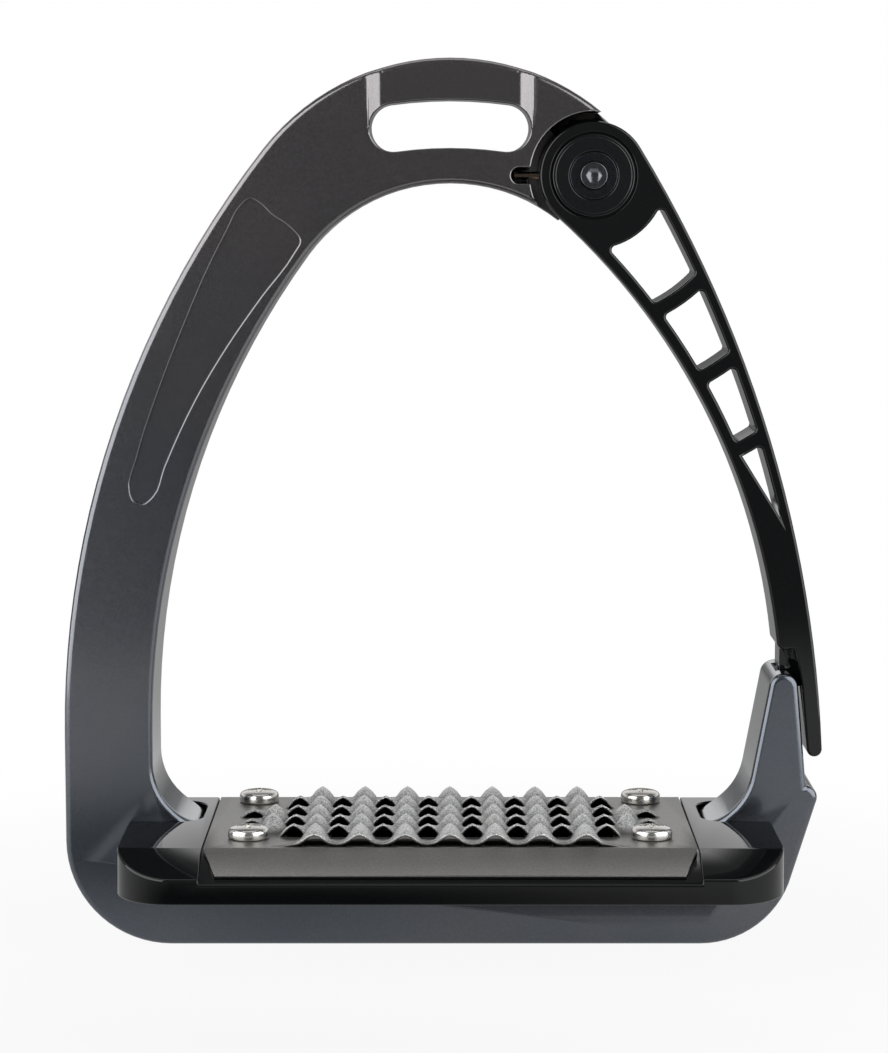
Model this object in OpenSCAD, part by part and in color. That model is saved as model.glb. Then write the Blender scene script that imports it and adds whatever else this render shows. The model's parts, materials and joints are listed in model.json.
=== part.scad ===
// Safety stirrup iron with a spring-closed outer arm and a louvered metal tread.
// Sizes are in millimetres. X runs across the foot gap, Y runs from front to back and Z runs up.
// The ground face of the base is at Z = 0 and the middle of the casting's depth is at Y = 0.

/* [Frame] */
// Depth of the casting from front to back
frame_depth = 20; // [18.5:0.5:23]
// Outer face of the left arm, from the middle of the base
side_x = 75; // [73:0.5:78]
// Width of the left arm where it is upright
arm_w = 17.4; // [15.5:0.1:19]
// Height at which the left arm stands upright
side_z = 42; // [40:0.5:45]
// Radius of the left arm's outer edge
outer_side_r = 186; // [180:1:192]
// Radius of the arch's outer edge
outer_top_r = 46.2; // [45:0.1:47.5]
// Radius of the left arm's inner edge
inner_side_r = 157.3; // [154:0.1:160]
// Radius of the arch's inner edge
inner_top_r = 35; // [33.5:0.1:36]
// Middle line of the arch and of the tread
mid_x = 1.2; // [0.5:0.1:2]
// Height of the base bar under the tread
bar_h = 16; // [13:0.5:17]
// Radius of the lower left corner
left_corner_r = 20.8; // [16:0.1:23]
// Radius of the lower right corner
right_corner_r = 18.7; // [17:0.1:20]
// Radius of the hollow where an arm meets its foot
foot_fillet_r = 12.6; // [11:0.1:13.5]
// Height of a foot where it meets the tread
foot_z = 23.7; // [22:0.1:24.5]
// Reach of the left foot past the arm's inner wall
left_foot_l = 9.2; // [7:0.1:10]
// Reach of the right foot past the tip of the post
right_foot_l = 15.4; // [14:0.1:17]
// Rounding of a foot's end, seen from above
foot_end_r = 5; // [3:0.1:7]

/* [Right post] */
// Middle of the post's rounded tip
post_x = 67; // [66:0.1:68]
// Height of that point
post_z = 51.6; // [49:0.1:53]
// Radius of the post's tip
post_tip_r = 2.9; // [2.6:0.1:3.1]
// Lean of the post's inner wall, in degrees
post_in_lean = 10.5; // [8:0.1:12]
// Lean of the post's outer wall, in degrees
post_out_lean = 5; // [4:0.1:6]
// Height of the shoulder under the arm's tail
shoulder_z = 29.6; // [28:0.1:31]
// Rounding of the shoulder
shoulder_r = 2.5; // [2:0.1:3]
// Reach of the shoulder's rounding past the tip of the post
shoulder_reach = 4.4; // [4:0.1:4.6]

/* [Leather slot] */
// Length of the slot for the leather
slot_l = 31.2; // [28:0.1:33]
// Height of the slot
slot_h = 9.3; // [7:0.1:10]
// Height of the bar above the slot
slot_bar_h = 8.1; // [7.5:0.1:9]
// Radius along which the slot is bowed
slot_bow_r = 80; // [65:1:120]
// Flat length of the recess in the bar above the slot
bar_recess_l = 26; // [20:0.5:28]
// Depth of that recess
bar_recess_d = 2; // [1:0.1:3]
// Length of the slope at each end of the recess
bar_recess_run = 3; // [2:0.1:4]

/* [Panel in the left arm] */
// Depth of the sunk panel
panel_d = 0.8; // [0.4:0.1:1.5]
// Height of the panel's lower end
panel_z0 = 90.5; // [86:0.5:96]
// Height of the panel's upper corner
panel_z1 = 147.5; // [143:0.5:149]

/* [Hinge] */
// Distance of the hinge from the centre of the arch
hub_reach = 36.4; // [35.5:0.1:37]
// Direction of the hinge from the centre of the arch, in degrees
hub_angle = 40.2; // [38:0.1:42]
// Radius of the arm's round end
hub_r = 10.5; // [10.2:0.1:11]
// Gap between the arm's round end and its seat
seat_gap = 1.8; // [1.4:0.1:2.1]
// Depth of the rear cheek that carries the barrel
cheek_t = 4.6; // [4.2:0.1:5]
// Radius of the rear cheek's free side
cheek_r = 10.2; // [9:0.1:10.4]
// Radius of the barrel
barrel_r = 3.5; // [3.3:0.05:3.7]
// Radius of the barrel's head
barrel_head_r = 6; // [5.4:0.1:6.6]
// Thickness of the barrel's head
barrel_head_t = 1.8; // [1.4:0.1:2.2]
// Radius of the hinge screw's shank
screw_r = 1.95; // [1.6:0.05:2.1]
// Radius of the hinge screw's head
screw_head_r = 2.6; // [2.4:0.05:2.7]
// Height of the hinge screw's head
screw_head_h = 1.6; // [1.2:0.1:2]
// Wall of the bush
bush_wall = 1.07; // [0.9:0.01:1.2]
// Radial running clearance of the bush on the barrel
run_clear = 0.03; // [0.02:0.01:0.08]
// Radius of the cap over the hinge
cap_r = 8; // [7.7:0.1:8.2]
// Thickness of the cap
cap_t = 1.8; // [1.6:0.1:2.2]
// Thickness of a thrust washer
washer_t = 0.5; // [0.4:0.05:0.6]
// Outer radius of the ring round the hinge screw
ring_r = 4.6; // [4.2:0.1:5]
// Thickness of that ring
ring_t = 0.8; // [0.6:0.1:1]
// Side clearance of loose parts in the hinge
loose = 0.1; // [0.05:0.01:0.15]

/* [Spring] */
// Wire of the spring
wire_d = 1.5; // [1.2:0.1:1.6]
// Mean radius of the coil
coil_r = 7.3; // [7.2:0.05:7.4]
// Rise per turn of the coil
coil_pitch = 1.95; // [1.9:0.05:2]
// Whole half turns of the coil
coil_half_turns = 5; // [3:2:5]
// Bend radius of the legs
leg_bend_r = 1.5; // [1.2:0.1:1.8]
// Reach of the fixed leg from the hinge
leg_reach = 15.2; // [14:0.1:15.5]
// Height of the notch for the fixed leg
notch_h = 3.1; // [2.6:0.1:3.6]

/* [Release arm] */
// Gap between the arm and the frame's front and cheek
arm_set_back = 0.6; // [0.4:0.1:1]
// Radius of the arm's outer edge
arm_out_r = 248.1; // [235:0.5:262]
// Radius of the arm's inner edge
arm_in_r = 131.5; // [126:0.5:138]
// Lower face of the arm's wide part
arm_foot_z = 59.2; // [57.5:0.1:61]
// Width of the inner rail beside the windows
rail_in = 2.4; // [2:0.1:2.8]
// Width of the outer rail beside the windows
rail_out = 2.1; // [1.8:0.1:2.6]
// Radius of the solid part round the hinge
solid_r = 14.2; // [13:0.1:15]
// Spacing of the ribs
rib_pitch = 15.8; // [14.5:0.1:16.5]
// Width of a rib
rib_w = 3; // [2.4:0.1:4]
// Distance of the last window's point from the hinge
window_end = 76.2; // [73:0.1:78]
// Rounding of the windows' corners
window_corner_r = 0.9; // [0.6:0.1:1.2]
// Rounding of the arm's lower inner corner
foot_corner_r = 1.6; // [1:0.1:2]
// Outer face of the arm's tail, from the middle of the post's tip
tail_out = 7.7; // [7.3:0.1:8.5]
// Lower end of the tail
tail_z = 38; // [36:0.1:40]
// Gap between the tail and the post
tail_gap = 0.75; // [0.5:0.05:1]
// Width of the tongue, front to back
tongue_w = 8.4; // [7:0.1:10]
// Height of the tongue's lower end
tongue_z = 51.1; // [50.6:0.1:52]
// Gap round the tongue in the post
tongue_gap = 0.5; // [0.4:0.05:0.7]

/* [Tread tray] */
// Length of the tray across the foot gap
tray_l = 127.2; // [123:0.2:129]
// Front face of the tray, from the middle of the casting
tray_front = 43.5; // [41:0.1:46]
// Back face of the tray, from the middle of the casting
tray_back = 18; // [16.5:0.1:20]
// Height of the tread's upper face
tread_z = 25; // [24.6:0.1:26]
// Top of the upright band round the tray
band_z = 20.8; // [19.5:0.1:22]
// Rounding of the tray's corners, seen from above
tray_corner_r = 11; // [8:0.5:14]
// Gap between the tray and the casting
tray_gap = 0.35; // [0.3:0.05:0.6]
// Wall of the tray round the hollows underneath
tray_wall = 3; // [2.4:0.1:4]
// Depth of the hollows underneath
hollow_d = 4.5; // [3:0.1:5]

/* [Tread plate] */
// Length of the plate across the foot gap
plate_l = 94; // [93:0.2:95]
// Front bend of the plate, from the middle of the casting
fold_front = 34.5; // [34:0.1:35.5]
// Back bend of the plate, from the middle of the casting
fold_back = 14; // [13.8:0.1:14.4]
// Thickness of the sheet
sheet_t = 0.9; // [0.6:0.05:1.1]
// Share of the tray's front slope that the front flange covers
flange_cover = 0.83; // [0.6:0.01:0.95]
// Taper of the front flange's ends
flange_taper = 2.7; // [1:0.1:3.4]
// Gap between the plate and the tray's side lands
plate_gap = 0.3; // [0.2:0.05:0.5]
// Spacing of the louvers across the foot gap
louver_pitch = 8.65; // [8.5:0.01:8.7]
// Spacing of the louver rows from front to back
row_pitch = 9; // [8.8:0.05:9.05]
// Rise of a louver above the plate
louver_h = 3.15; // [2:0.05:3.5]
// Bridge of flat sheet between a row's two cuts
bridge_w = 1.6; // [1.2:0.05:2]
// Width of a cut
cut_w = 0.35; // [0.25:0.01:0.5]
// Lift of the front cut's free edge
front_lift = 0.8; // [0.5:0.05:1]
// Place of the rearmost cut, from the middle of the casting
last_cut = 9.9; // [9.7:0.05:10.2]

/* [Screws] */
// Distance of the tread screws from the middle line
tread_screw_x = 38.9; // [38.2:0.1:39.5]
// Front tread screws, from the middle of the casting
tread_screw_front = 25.2; // [24.4:0.1:25.5]
// Back tread screws, from the middle of the casting
tread_screw_back = 9.5; // [8.5:0.1:9.6]
// Radius of a tread screw's shank
tread_screw_r = 1.95; // [1.5:0.05:2.1]
// Radius of a tread screw's head
tread_head_r = 4; // [3.4:0.1:4.1]
// Height of a tread screw's head
tread_head_h = 2.6; // [2:0.1:3]
// Length of a tread screw under its head
tread_screw_l = 6.5; // [5:0.1:7]
// Clearance of a screw in its hole
hole_clear = 0.15; // [0.1:0.05:0.3]
// Wall of a threaded insert
insert_wall = 0.9; // [0.7:0.05:1]
// Gap between a screw and its insert
thread_gap = 0.05; // [0.02:0.01:0.1]
// Distance of the base screws from the middle line
base_screw_x = 30; // [24:0.5:34]
// Radius of a base screw's shank
base_screw_r = 2.45; // [2:0.05:2.6]
// Radius of a base screw's head
base_head_r = 4.25; // [3.8:0.05:4.5]
// Height of a base screw's head
base_head_h = 5; // [4:0.1:5.5]

/* [Hidden] */
$fn = 64;
// Sub-part to draw, or all of them

// A point at a distance and an angle
function polar(r, a) = [r * cos(a), r * sin(a)];
// The direction of one point from another, in degrees
function heading(a, b) = atan2(b[1] - a[1], b[0] - a[0]);
// A meeting point of two circles, on the left of the way from the first centre to the second
function meet(a, ra, b, rb) =
    let (d = norm(b - a), t = (ra * ra - rb * rb + d * d) / (2 * d), w = sqrt(ra * ra - t * t))
    a + (b - a) * t / d + [a[1] - b[1], b[0] - a[0]] * w / d;
// The foot of the outer tangent of two circles, as the direction of its normal
function tangent_dir(a, ra, b, rb) = heading(a, b) - acos((ra - rb) / norm(b - a));

// Arcs of the casting, each tangent to the next
front_y = -frame_depth / 2;
back_y = frame_depth / 2;
wall_x = -(side_x - arm_w);
outer_side_c = [outer_side_r - side_x, side_z];
outer_top_c = [mid_x, side_z + sqrt(pow(outer_side_r - outer_top_r, 2) - pow(outer_side_c[0] - mid_x, 2))];
inner_side_z = side_z + 1;
inner_side_c = [wall_x + inner_side_r, inner_side_z];
inner_rise = sqrt(pow(inner_side_r - inner_top_r, 2) - pow(inner_side_c[0] - mid_x, 2));
inner_top_c = [mid_x, inner_side_z + inner_rise];
outer_join = outer_side_c + polar(outer_side_r, heading(outer_side_c, outer_top_c));
inner_join = inner_side_c + polar(inner_side_r, heading(inner_side_c, inner_top_c));
top_z = outer_top_c[1] + outer_top_r;

// Foot and post
fillet_z = foot_z + foot_fillet_r;
left_fillet_c = [wall_x + foot_fillet_r, fillet_z];
left_foot_x = wall_x + left_foot_l;
right_foot_x = post_x - right_foot_l;
post_c = [post_x, post_z];
tip_in = post_c + polar(post_tip_r, 180 - post_in_lean);
tip_out = post_c + polar(post_tip_r, post_out_lean);
function post_in_x(z) = tip_in[0] - (tip_in[1] - z) * tan(post_in_lean);
function post_out_x(z) = tip_out[0] + (tip_out[1] - z) * tan(post_out_lean);
right_fillet_c = [post_in_x(fillet_z) - foot_fillet_r / cos(post_in_lean), fillet_z];
fillet_end = right_fillet_c + polar(foot_fillet_r, -post_in_lean);
right_corner_c = [post_x - 16, right_corner_r];
shoulder_c = [post_x + shoulder_reach, shoulder_z];
hip_dir = tangent_dir(right_corner_c, right_corner_r, shoulder_c, shoulder_r);
left_corner_c = [-side_x + left_corner_r, left_corner_r];
// Straight walls stop this much short of the rounds that they run into
tuck = 0.02;

// Slot for the leather
slot_r = slot_h / 2;
slot_c = [mid_x, top_z - slot_bar_h - slot_r - slot_bow_r];
slot_half = asin((slot_l / 2 - slot_r) / slot_bow_r);

// Hinge
hub = outer_top_c + polar(hub_reach, hub_angle);
seat_r = hub_r + seat_gap;
cheek_y = back_y - cheek_t;
arm_y0 = front_y + arm_set_back;
arm_y1 = cheek_y - arm_set_back - 0.3;
cap_floor_y = arm_y0 + 2;
cap_y1 = cap_floor_y - washer_t - 0.2;
cap_y0 = cap_y1 - cap_t;
cap_recess_y = cap_y0 + ring_t + 0.1;
head_y = back_y - 0.2;
bush_in_r = barrel_r + run_clear;
bush_r = bush_in_r + bush_wall;
sleeve_r = bush_r + 1.5;
groove_r = coil_r + wire_d / 2 + 0.55;
groove_y = arm_y0 + 6.2;
coil_y0 = groove_y + wire_d / 2 + 0.45;
leg_turn = asin(leg_bend_r / (coil_r + leg_bend_r));
coil_end = coil_half_turns * 180 - leg_turn;
coil_y1 = coil_y0 + coil_pitch * coil_end / 360;
leg_slot_y = coil_y1 - wire_d / 2 - 0.5;
leg_hole = [coil_r, -leg_bend_r];
leg_hole_r = wire_d / 2 + 0.3;
leg_hole_y = groove_y - 3.4;

// Arm
tail_x = post_x + tail_out;
arm_tail_end = [tail_x, tail_z + 2];
arm_out_c = meet(arm_tail_end, arm_out_r, hub, arm_out_r - hub_r);
arm_foot_point = [post_x - 1.4, 60];
arm_in_c = meet(arm_foot_point, arm_in_r, hub, arm_in_r + hub_r);
arm_out_touch = hub + polar(hub_r, heading(arm_out_c, hub));
arm_in_touch = hub - polar(hub_r, heading(arm_in_c, hub));
function arm_out_x(z) = arm_out_c[0] + sqrt(pow(arm_out_r, 2) - pow(z - arm_out_c[1], 2));
tail_in_low = [post_out_x(tail_z + 1.3) + tail_gap, tail_z + 1.3];
tail_in_high = [post_out_x(post_z + 1) + tail_gap, post_z + 1];
tail_end_r = (arm_out_x(tail_z + 1.3) - tail_in_low[0]) / 2;
tongue_x = post_x - 0.4;
swing = 80;

// Tread
tray_x0 = mid_x - tray_l / 2;
tray_x1 = mid_x + tray_l / 2;
plate_x0 = mid_x - plate_l / 2;
plate_x1 = mid_x + plate_l / 2;
deck_z = tread_z - sheet_t;
front_dir = atan2(tread_z - band_z, tray_front - fold_front);
back_dir = atan2(tread_z - band_z, tray_back - fold_back);
tread_screw_at = [for (sx = [-1, 1], y = [-tread_screw_front, tread_screw_back])
    [mid_x + sx * tread_screw_x, y]];
base_screw_at = [for (sx = [-1, 1]) [mid_x + sx * base_screw_x, 0]];
insert_r = tread_screw_r + thread_gap + insert_wall;
base_insert_r = base_screw_r + thread_gap + insert_wall + 0.1;
insert_z0 = deck_z - 6.9;
base_insert_z1 = bar_h + 6.6;
base_head_z = 0.4;

// Draws a flat outline of the front view between two depths
module between(y0, y1) {
    translate([0, y1, 0])
        rotate([90, 0, 0])
            linear_extrude(y1 - y0)
                children();
}

// A round bar from front to back at a point of the front view
module rod(at, r, y0, y1) {
    translate([at[0], y1, at[1]])
        rotate([90, 0, 0])
            cylinder(r = r, h = y1 - y0);
}

// A round disc of the front view
module disc(at, r) {
    translate(at)
        circle(r = r, $fn = 128);
}

// An upright round bar
module post_at(at, r, z0, z1) {
    translate([at[0], at[1], z0])
        cylinder(r = r, h = z1 - z0);
}

// A rectangle between two corners
module box(a, b) {
    translate(a)
        square(b - a);
}

// A hexagon across its flats
module hex(flats) {
    circle(r = flats / sqrt(3), $fn = 6);
}

// The left arm and the arch, which ends in a direction from the hinge
module arch_outline(end_dir) {
    outer_in = outer_join + (outer_top_c - outer_join) * 4 / outer_top_r;
    inner_out = inner_join - (inner_top_c - inner_join) * 4 / inner_top_r;
    intersection() {
        difference() {
            disc(outer_side_c, outer_side_r);
            disc(inner_side_c, inner_side_r);
        }
        polygon([[-side_x - 5, inner_side_z], [-side_x - 5, outer_join[1] + 4], outer_join, outer_in,
            inner_out, inner_join, [inner_join[0], inner_side_z]]);
    }
    intersection() {
        difference() {
            disc(outer_top_c, outer_top_r);
            disc(inner_top_c, inner_top_r);
        }
        polygon([inner_join, inner_out, outer_in, outer_join, [outer_join[0], top_z + 5],
            hub + polar(40, end_dir), hub, hub + polar(20, 235), [mid_x, inner_join[1]]]);
    }
}

// The lower left corner, the left foot and the foot of the left arm
module left_base_outline() {
    difference() {
        box([-side_x, 0], [left_foot_x, inner_side_z]);
        box([wall_x, fillet_z], [0, inner_side_z + 1]);
        disc(left_fillet_c, foot_fillet_r);
        difference() {
            box([-side_x - 1, -1], left_corner_c);
            disc(left_corner_c, left_corner_r);
        }
        difference() {
            box([-side_x - 1, side_z], [-side_x + 1, inner_side_z + 1]);
            disc(outer_side_c, outer_side_r);
        }
    }
}

// The base bar, the right foot, its corner, the shoulder and the post
module right_base_outline() {
    difference() {
        union() {
            polygon([[left_corner_c[0], 0], [right_corner_c[0], 0],
                right_corner_c + polar(right_corner_r - tuck, hip_dir),
                shoulder_c + polar(shoulder_r - tuck, hip_dir), shoulder_c,
                [post_out_x(shoulder_z), shoulder_z],
                post_c + polar(post_tip_r - tuck, post_out_lean), post_c,
                post_c + polar(post_tip_r - tuck, 180 - post_in_lean),
                fillet_end, [right_foot_x, fillet_end[1]], [right_foot_x, bar_h],
                [left_corner_c[0], bar_h]]);
            disc(shoulder_c, shoulder_r);
            disc(post_c, post_tip_r);
        }
        disc(right_fillet_c, foot_fillet_r);
    }
    intersection() {
        disc(right_corner_c, right_corner_r);
        polygon([[right_corner_c[0] - 0.5, -1], [post_x + 10, -1], [post_x + 10, right_corner_r],
            [right_foot_x + 1, right_corner_r], [right_foot_x + 1, bar_h - 1],
            [right_corner_c[0] - 0.5, bar_h - 1]]);
    }
}

module base_outline() {
    left_base_outline();
    right_base_outline();
}

module leather_slot_outline() {
    reach = slot_bow_r + slot_h;
    intersection() {
        difference() {
            disc(slot_c, slot_bow_r + slot_r);
            disc(slot_c, slot_bow_r - slot_r);
        }
        polygon([slot_c, slot_c + polar(reach, 90 + slot_half), slot_c + polar(reach, 90 - slot_half)]);
    }
    for (s = [-1, 1])
        disc(slot_c + polar(slot_bow_r, 90 + s * slot_half), slot_r);
}

// The sunk panel in the left arm, with a waved upper end.
// Each corner is a share of the panel's height and a share of the arm's width from its outer edge.
panel_shares = [[1, 0.193], [0.97, 0.153], [0.903, 0.177], [0.771, 0.218], [0.58, 0.28], [0.352, 0.327],
    [0.118, 0.356], [0, 0.39], [-0.03, 0.454], [-0.04, 0.554], [-0.013, 0.643], [0.082, 0.665],
    [0.328, 0.726], [0.505, 0.786], [0.669, 0.842], [0.818, 0.873], [0.859, 0.85], [0.899, 0.703],
    [0.95, 0.439], [0.983, 0.3]];
function outer_x(z) = outer_side_c[0] - sqrt(pow(outer_side_r, 2) - pow(z - outer_side_c[1], 2));
function inner_x(z) = inner_side_c[0] - sqrt(pow(inner_side_r, 2) - pow(z - inner_side_c[1], 2));
panel_corners = [for (s = panel_shares) let (z = panel_z0 + s[0] * (panel_z1 - panel_z0))
    [outer_x(z) * (1 - s[1]) + inner_x(z) * s[1], z]];
// A smooth closed curve through corners: its direction at one corner, and a point after that corner
function lead(p, i) =
    let (n = len(p), a = p[i] - p[(i + n - 1) % n], b = p[(i + 1) % n] - p[i])
    (a * norm(b) / norm(a) + b * norm(a) / norm(b)) / (norm(a) + norm(b));
function along(p, i, t) =
    let (k = (i + 1) % len(p), d = norm(p[k] - p[i]))
    p[i] * (1 + 2 * t) * pow(1 - t, 2) + lead(p, i) * d * t * pow(1 - t, 2)
    + p[k] * t * t * (3 - 2 * t) - lead(p, k) * d * t * t * (1 - t);

module panel_outline() {
    polygon([for (i = [0 : len(panel_corners) - 1], t = [0 : 0.25 : 0.8]) along(panel_corners, i, t)]);
}

// The recess in the bar above the slot, cut from one face
module bar_recess(side) {
    half = bar_recess_l / 2;
    face = side * frame_depth / 2;
    floor = face - side * bar_recess_d;
    far = face + side;
    run = bar_recess_run * (1 + 1 / bar_recess_d);
    translate([mid_x, 0, slot_c[1] + slot_bow_r * cos(slot_half)])
        linear_extrude(40)
            polygon([[-half, floor], [half, floor], [half + run, far], [-half - run, far]]);
}

// Rounds one upright edge of a foot's end
module foot_edge_cut(x, inward, side) {
    corner = [x, side * frame_depth / 2];
    centre = corner + [inward * foot_end_r, -side * foot_end_r];
    translate([0, 0, bar_h])
        linear_extrude(fillet_z - bar_h)
            difference() {
                box([min(corner[0], centre[0]) - (inward > 0 ? 1 : 0),
                        min(corner[1], centre[1]) - (side < 0 ? 1 : 0)],
                    [max(corner[0], centre[0]) + (inward < 0 ? 1 : 0),
                        max(corner[1], centre[1]) + (side > 0 ? 1 : 0)]);
                translate(centre)
                    circle(r = foot_end_r);
            }
}

module frame() {
    notch_end = hub[0] - leg_reach - 0.8 + notch_h / 2;
    color("#4c5057")
        difference() {
            union() {
                between(front_y, cheek_y)
                    difference() {
                        arch_outline(80);
                        disc(hub, seat_r);
                    }
                between(cheek_y, back_y)
                    union() {
                        arch_outline(hub_angle + 6);
                        disc(hub, cheek_r);
                    }
                between(front_y, back_y)
                    base_outline();
            }
            between(front_y - 1, back_y + 1)
                leather_slot_outline();
            bar_recess(-1);
            bar_recess(1);
            between(front_y - 1, front_y + panel_d)
                panel_outline();
            between(back_y - panel_d, back_y + 1)
                panel_outline();
            between(front_y - 1, cheek_y - 0.2) {
                box([notch_end, hub[1] - notch_h / 2], hub + [0, notch_h / 2]);
                disc([notch_end, hub[1]], notch_h / 2);
            }
            rod(hub, barrel_r + loose / 2, cheek_y - 1, back_y + 1);
            rod(hub, barrel_head_r + loose, head_y - barrel_head_t, back_y + 1);
            between(-tongue_w / 2 - tongue_gap, tongue_w / 2 + tongue_gap)
                box([tongue_x - tongue_gap - 0.1, tongue_z - tongue_gap - 0.2], [post_x + 10, post_z + 10]);
            for (side = [-1, 1]) {
                foot_edge_cut(left_foot_x, -1, side);
                foot_edge_cut(right_foot_x, 1, side);
            }
            for (at = base_screw_at) {
                post_at(at, base_head_r + 0.45, -1, base_head_z + base_head_h);
                post_at(at, base_screw_r + hole_clear, -1, bar_h + 1);
            }
        }
}

// The arm's outline, drawn in from its edges by the two rails
module arm_outline(inner, outer) {
    disc(hub, hub_r - max(inner, outer));
    intersection() {
        difference() {
            disc(arm_out_c, arm_out_r - outer);
            disc(arm_in_c, arm_in_r + inner);
        }
        polygon([arm_out_touch, hub, arm_in_touch, [arm_in_touch[0], arm_foot_z],
            [tail_x + 20, arm_foot_z], [tail_x + 20, arm_out_touch[1]]]);
    }
}

// The part of the front view between two distances from the hinge
module hub_ring(r0, r1) {
    difference() {
        disc(hub, r1);
        disc(hub, r0);
    }
}

// What is left standing where a window's corner between a ring and a rail is rounded off
module window_corner(ring_r, ring_side, rail) {
    corner = meet(hub, ring_r, rail[0], rail[1]);
    mid = meet(hub, ring_r + ring_side * window_corner_r, rail[0], rail[1] + rail[2] * window_corner_r);
    difference() {
        polygon([corner + (corner - mid) / 2, hub + polar(ring_r, heading(hub, mid)), mid,
            rail[0] + polar(rail[1], heading(rail[0], mid))]);
        disc(mid, window_corner_r + tuck);
    }
}

module window_outline() {
    first = solid_r + rib_pitch - rib_w + 0.4;
    last = first + 2 * rib_pitch + rib_w;
    // Middle and radius of each rail's window edge, and the side that the windows lie on
    inner_rail = [arm_in_c, arm_in_r + rail_in, 1];
    outer_rail = [arm_out_c, arm_out_r - rail_out, -1];
    rings = [[solid_r, first], for (i = [0, 1]) [for (w = [rib_w, rib_pitch]) first + i * rib_pitch + w]];
    point_from = meet(hub, last, inner_rail[0], inner_rail[1]);
    point_to = meet(hub, window_end, outer_rail[0], outer_rail[1]);
    difference() {
        intersection() {
            arm_outline(rail_in, rail_out);
            union() {
                for (ring = rings)
                    hub_ring(ring[0], ring[1]);
                difference() {
                    polygon([point_from, point_to, point_to + [20, 0], point_from + [30, 20]]);
                    disc(hub, last);
                }
            }
        }
        for (ring = rings)
            for (rail = [inner_rail, outer_rail]) {
                window_corner(ring[0], 1, rail);
                window_corner(ring[1], -1, rail);
            }
        window_corner(last, 1, outer_rail);
    }
}

// What is cut away where the arm's lower inner corner is rounded off
module foot_corner() {
    mid_z = arm_foot_z + foot_corner_r;
    mid_r = arm_in_r + foot_corner_r;
    mid = [arm_in_c[0] + sqrt(pow(mid_r, 2) - pow(mid_z - arm_in_c[1], 2)), mid_z];
    difference() {
        polygon([mid, arm_in_c + polar(arm_in_r, heading(arm_in_c, mid)),
            mid - 2 * [foot_corner_r, foot_corner_r], [mid[0], arm_foot_z]]);
        disc(mid, foot_corner_r + tuck);
    }
}

module tail_outline() {
    intersection() {
        disc(arm_out_c, arm_out_r);
        polygon([[post_x + 2, arm_foot_z + 3], [tail_x + 5, arm_foot_z + 3], [tail_x + 5, tail_in_low[1]],
            tail_in_low, tail_in_high, [post_x + 2.2, arm_foot_z]]);
    }
    disc(tail_in_low + [tail_end_r, 0], tail_end_r);
}

module release_arm() {
    color("#15171a")
        difference() {
            union() {
                between(arm_y0, arm_y1)
                    union() {
                        difference() {
                            arm_outline(0, 0);
                            window_outline();
                            foot_corner();
                        }
                        tail_outline();
                    }
                between(-tongue_w / 2, tongue_w / 2)
                    box([tongue_x, tongue_z], [tail_in_high[0] + 0.3, arm_foot_z + 1]);
            }
            rod(hub, cap_r + 0.4, arm_y0 - 1, cap_floor_y);
            rod(hub, bush_r, cap_floor_y - 1, arm_y1 + 1);
            difference() {
                rod(hub, groove_r, groove_y, arm_y1 + 1);
                rod(hub, sleeve_r, groove_y - 1, arm_y1 + 2);
            }
            between(leg_slot_y, arm_y1 + 1)
                intersection() {
                    hub_ring(groove_r - 0.2, hub_r + 2);
                    polygon([hub, hub + polar(30, 188), hub + polar(30, 140), hub + polar(30, 172 - swing)]);
                }
            rod(hub + leg_hole, leg_hole_r, leg_hole_y, groove_y + 1);
        }
}

module arm_bush() {
    color("#a8793c")
        difference() {
            rod(hub, bush_r, cap_floor_y + loose, arm_y1 - loose);
            rod(hub, bush_in_r, cap_floor_y - 1, arm_y1 + 1);
        }
}

module pivot_barrel() {
    color("#8d9197")
        difference() {
            union() {
                rod(hub, barrel_r, cap_y1, head_y);
                rod(hub, barrel_head_r, head_y - barrel_head_t, head_y);
            }
            rod(hub, screw_r + thread_gap, cap_y1 - 1, cheek_y);
            translate([hub[0], head_y + 1, hub[1]])
                rotate([90, 0, 0])
                    linear_extrude(1 + barrel_head_t)
                        hex(4);
        }
}

module pivot_screw() {
    color("#5a5d61")
        difference() {
            union() {
                rod(hub, screw_r, cap_recess_y - 0.1, cheek_y - 3);
                rod(hub, screw_head_r, cap_recess_y - screw_head_h, cap_recess_y);
            }
            translate([hub[0], cap_recess_y - 0.5, hub[1]])
                rotate([90, 0, 0])
                    linear_extrude(screw_head_h)
                        hex(2.5);
        }
}

module hub_cap() {
    color("#1d1f22")
        difference() {
            rod(hub, cap_r, cap_y0, cap_y1);
            rod(hub, ring_r + loose, cap_y0 - 1, cap_recess_y);
            rod(hub, screw_r + hole_clear, cap_y0 - 1, cap_y1 + 1);
            difference() {
                rod(hub, cap_r + 1, cap_y0 - 1, cap_y0 + 0.3);
                rod(hub, cap_r - 0.5, cap_y0 - 2, cap_y0 + 1);
            }
        }
}

module screw_washer() {
    color("#2b2e31")
        difference() {
            rod(hub, ring_r, cap_recess_y - ring_t, cap_recess_y);
            rod(hub, screw_head_r + hole_clear, cap_recess_y - 2, cap_recess_y + 1);
        }
}

module front_washer() {
    color("#d9d6cc")
        difference() {
            rod(hub, cap_r - 0.2, cap_floor_y - washer_t, cap_floor_y);
            rod(hub, bush_r + loose, cap_floor_y - 1, cap_floor_y + 1);
        }
}

module rear_washer() {
    color("#d9d6cc")
        difference() {
            rod(hub, sleeve_r, cheek_y - washer_t - 0.1, cheek_y);
            rod(hub, barrel_r + loose, cheek_y - 2, cheek_y + 1);
        }
}

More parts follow.
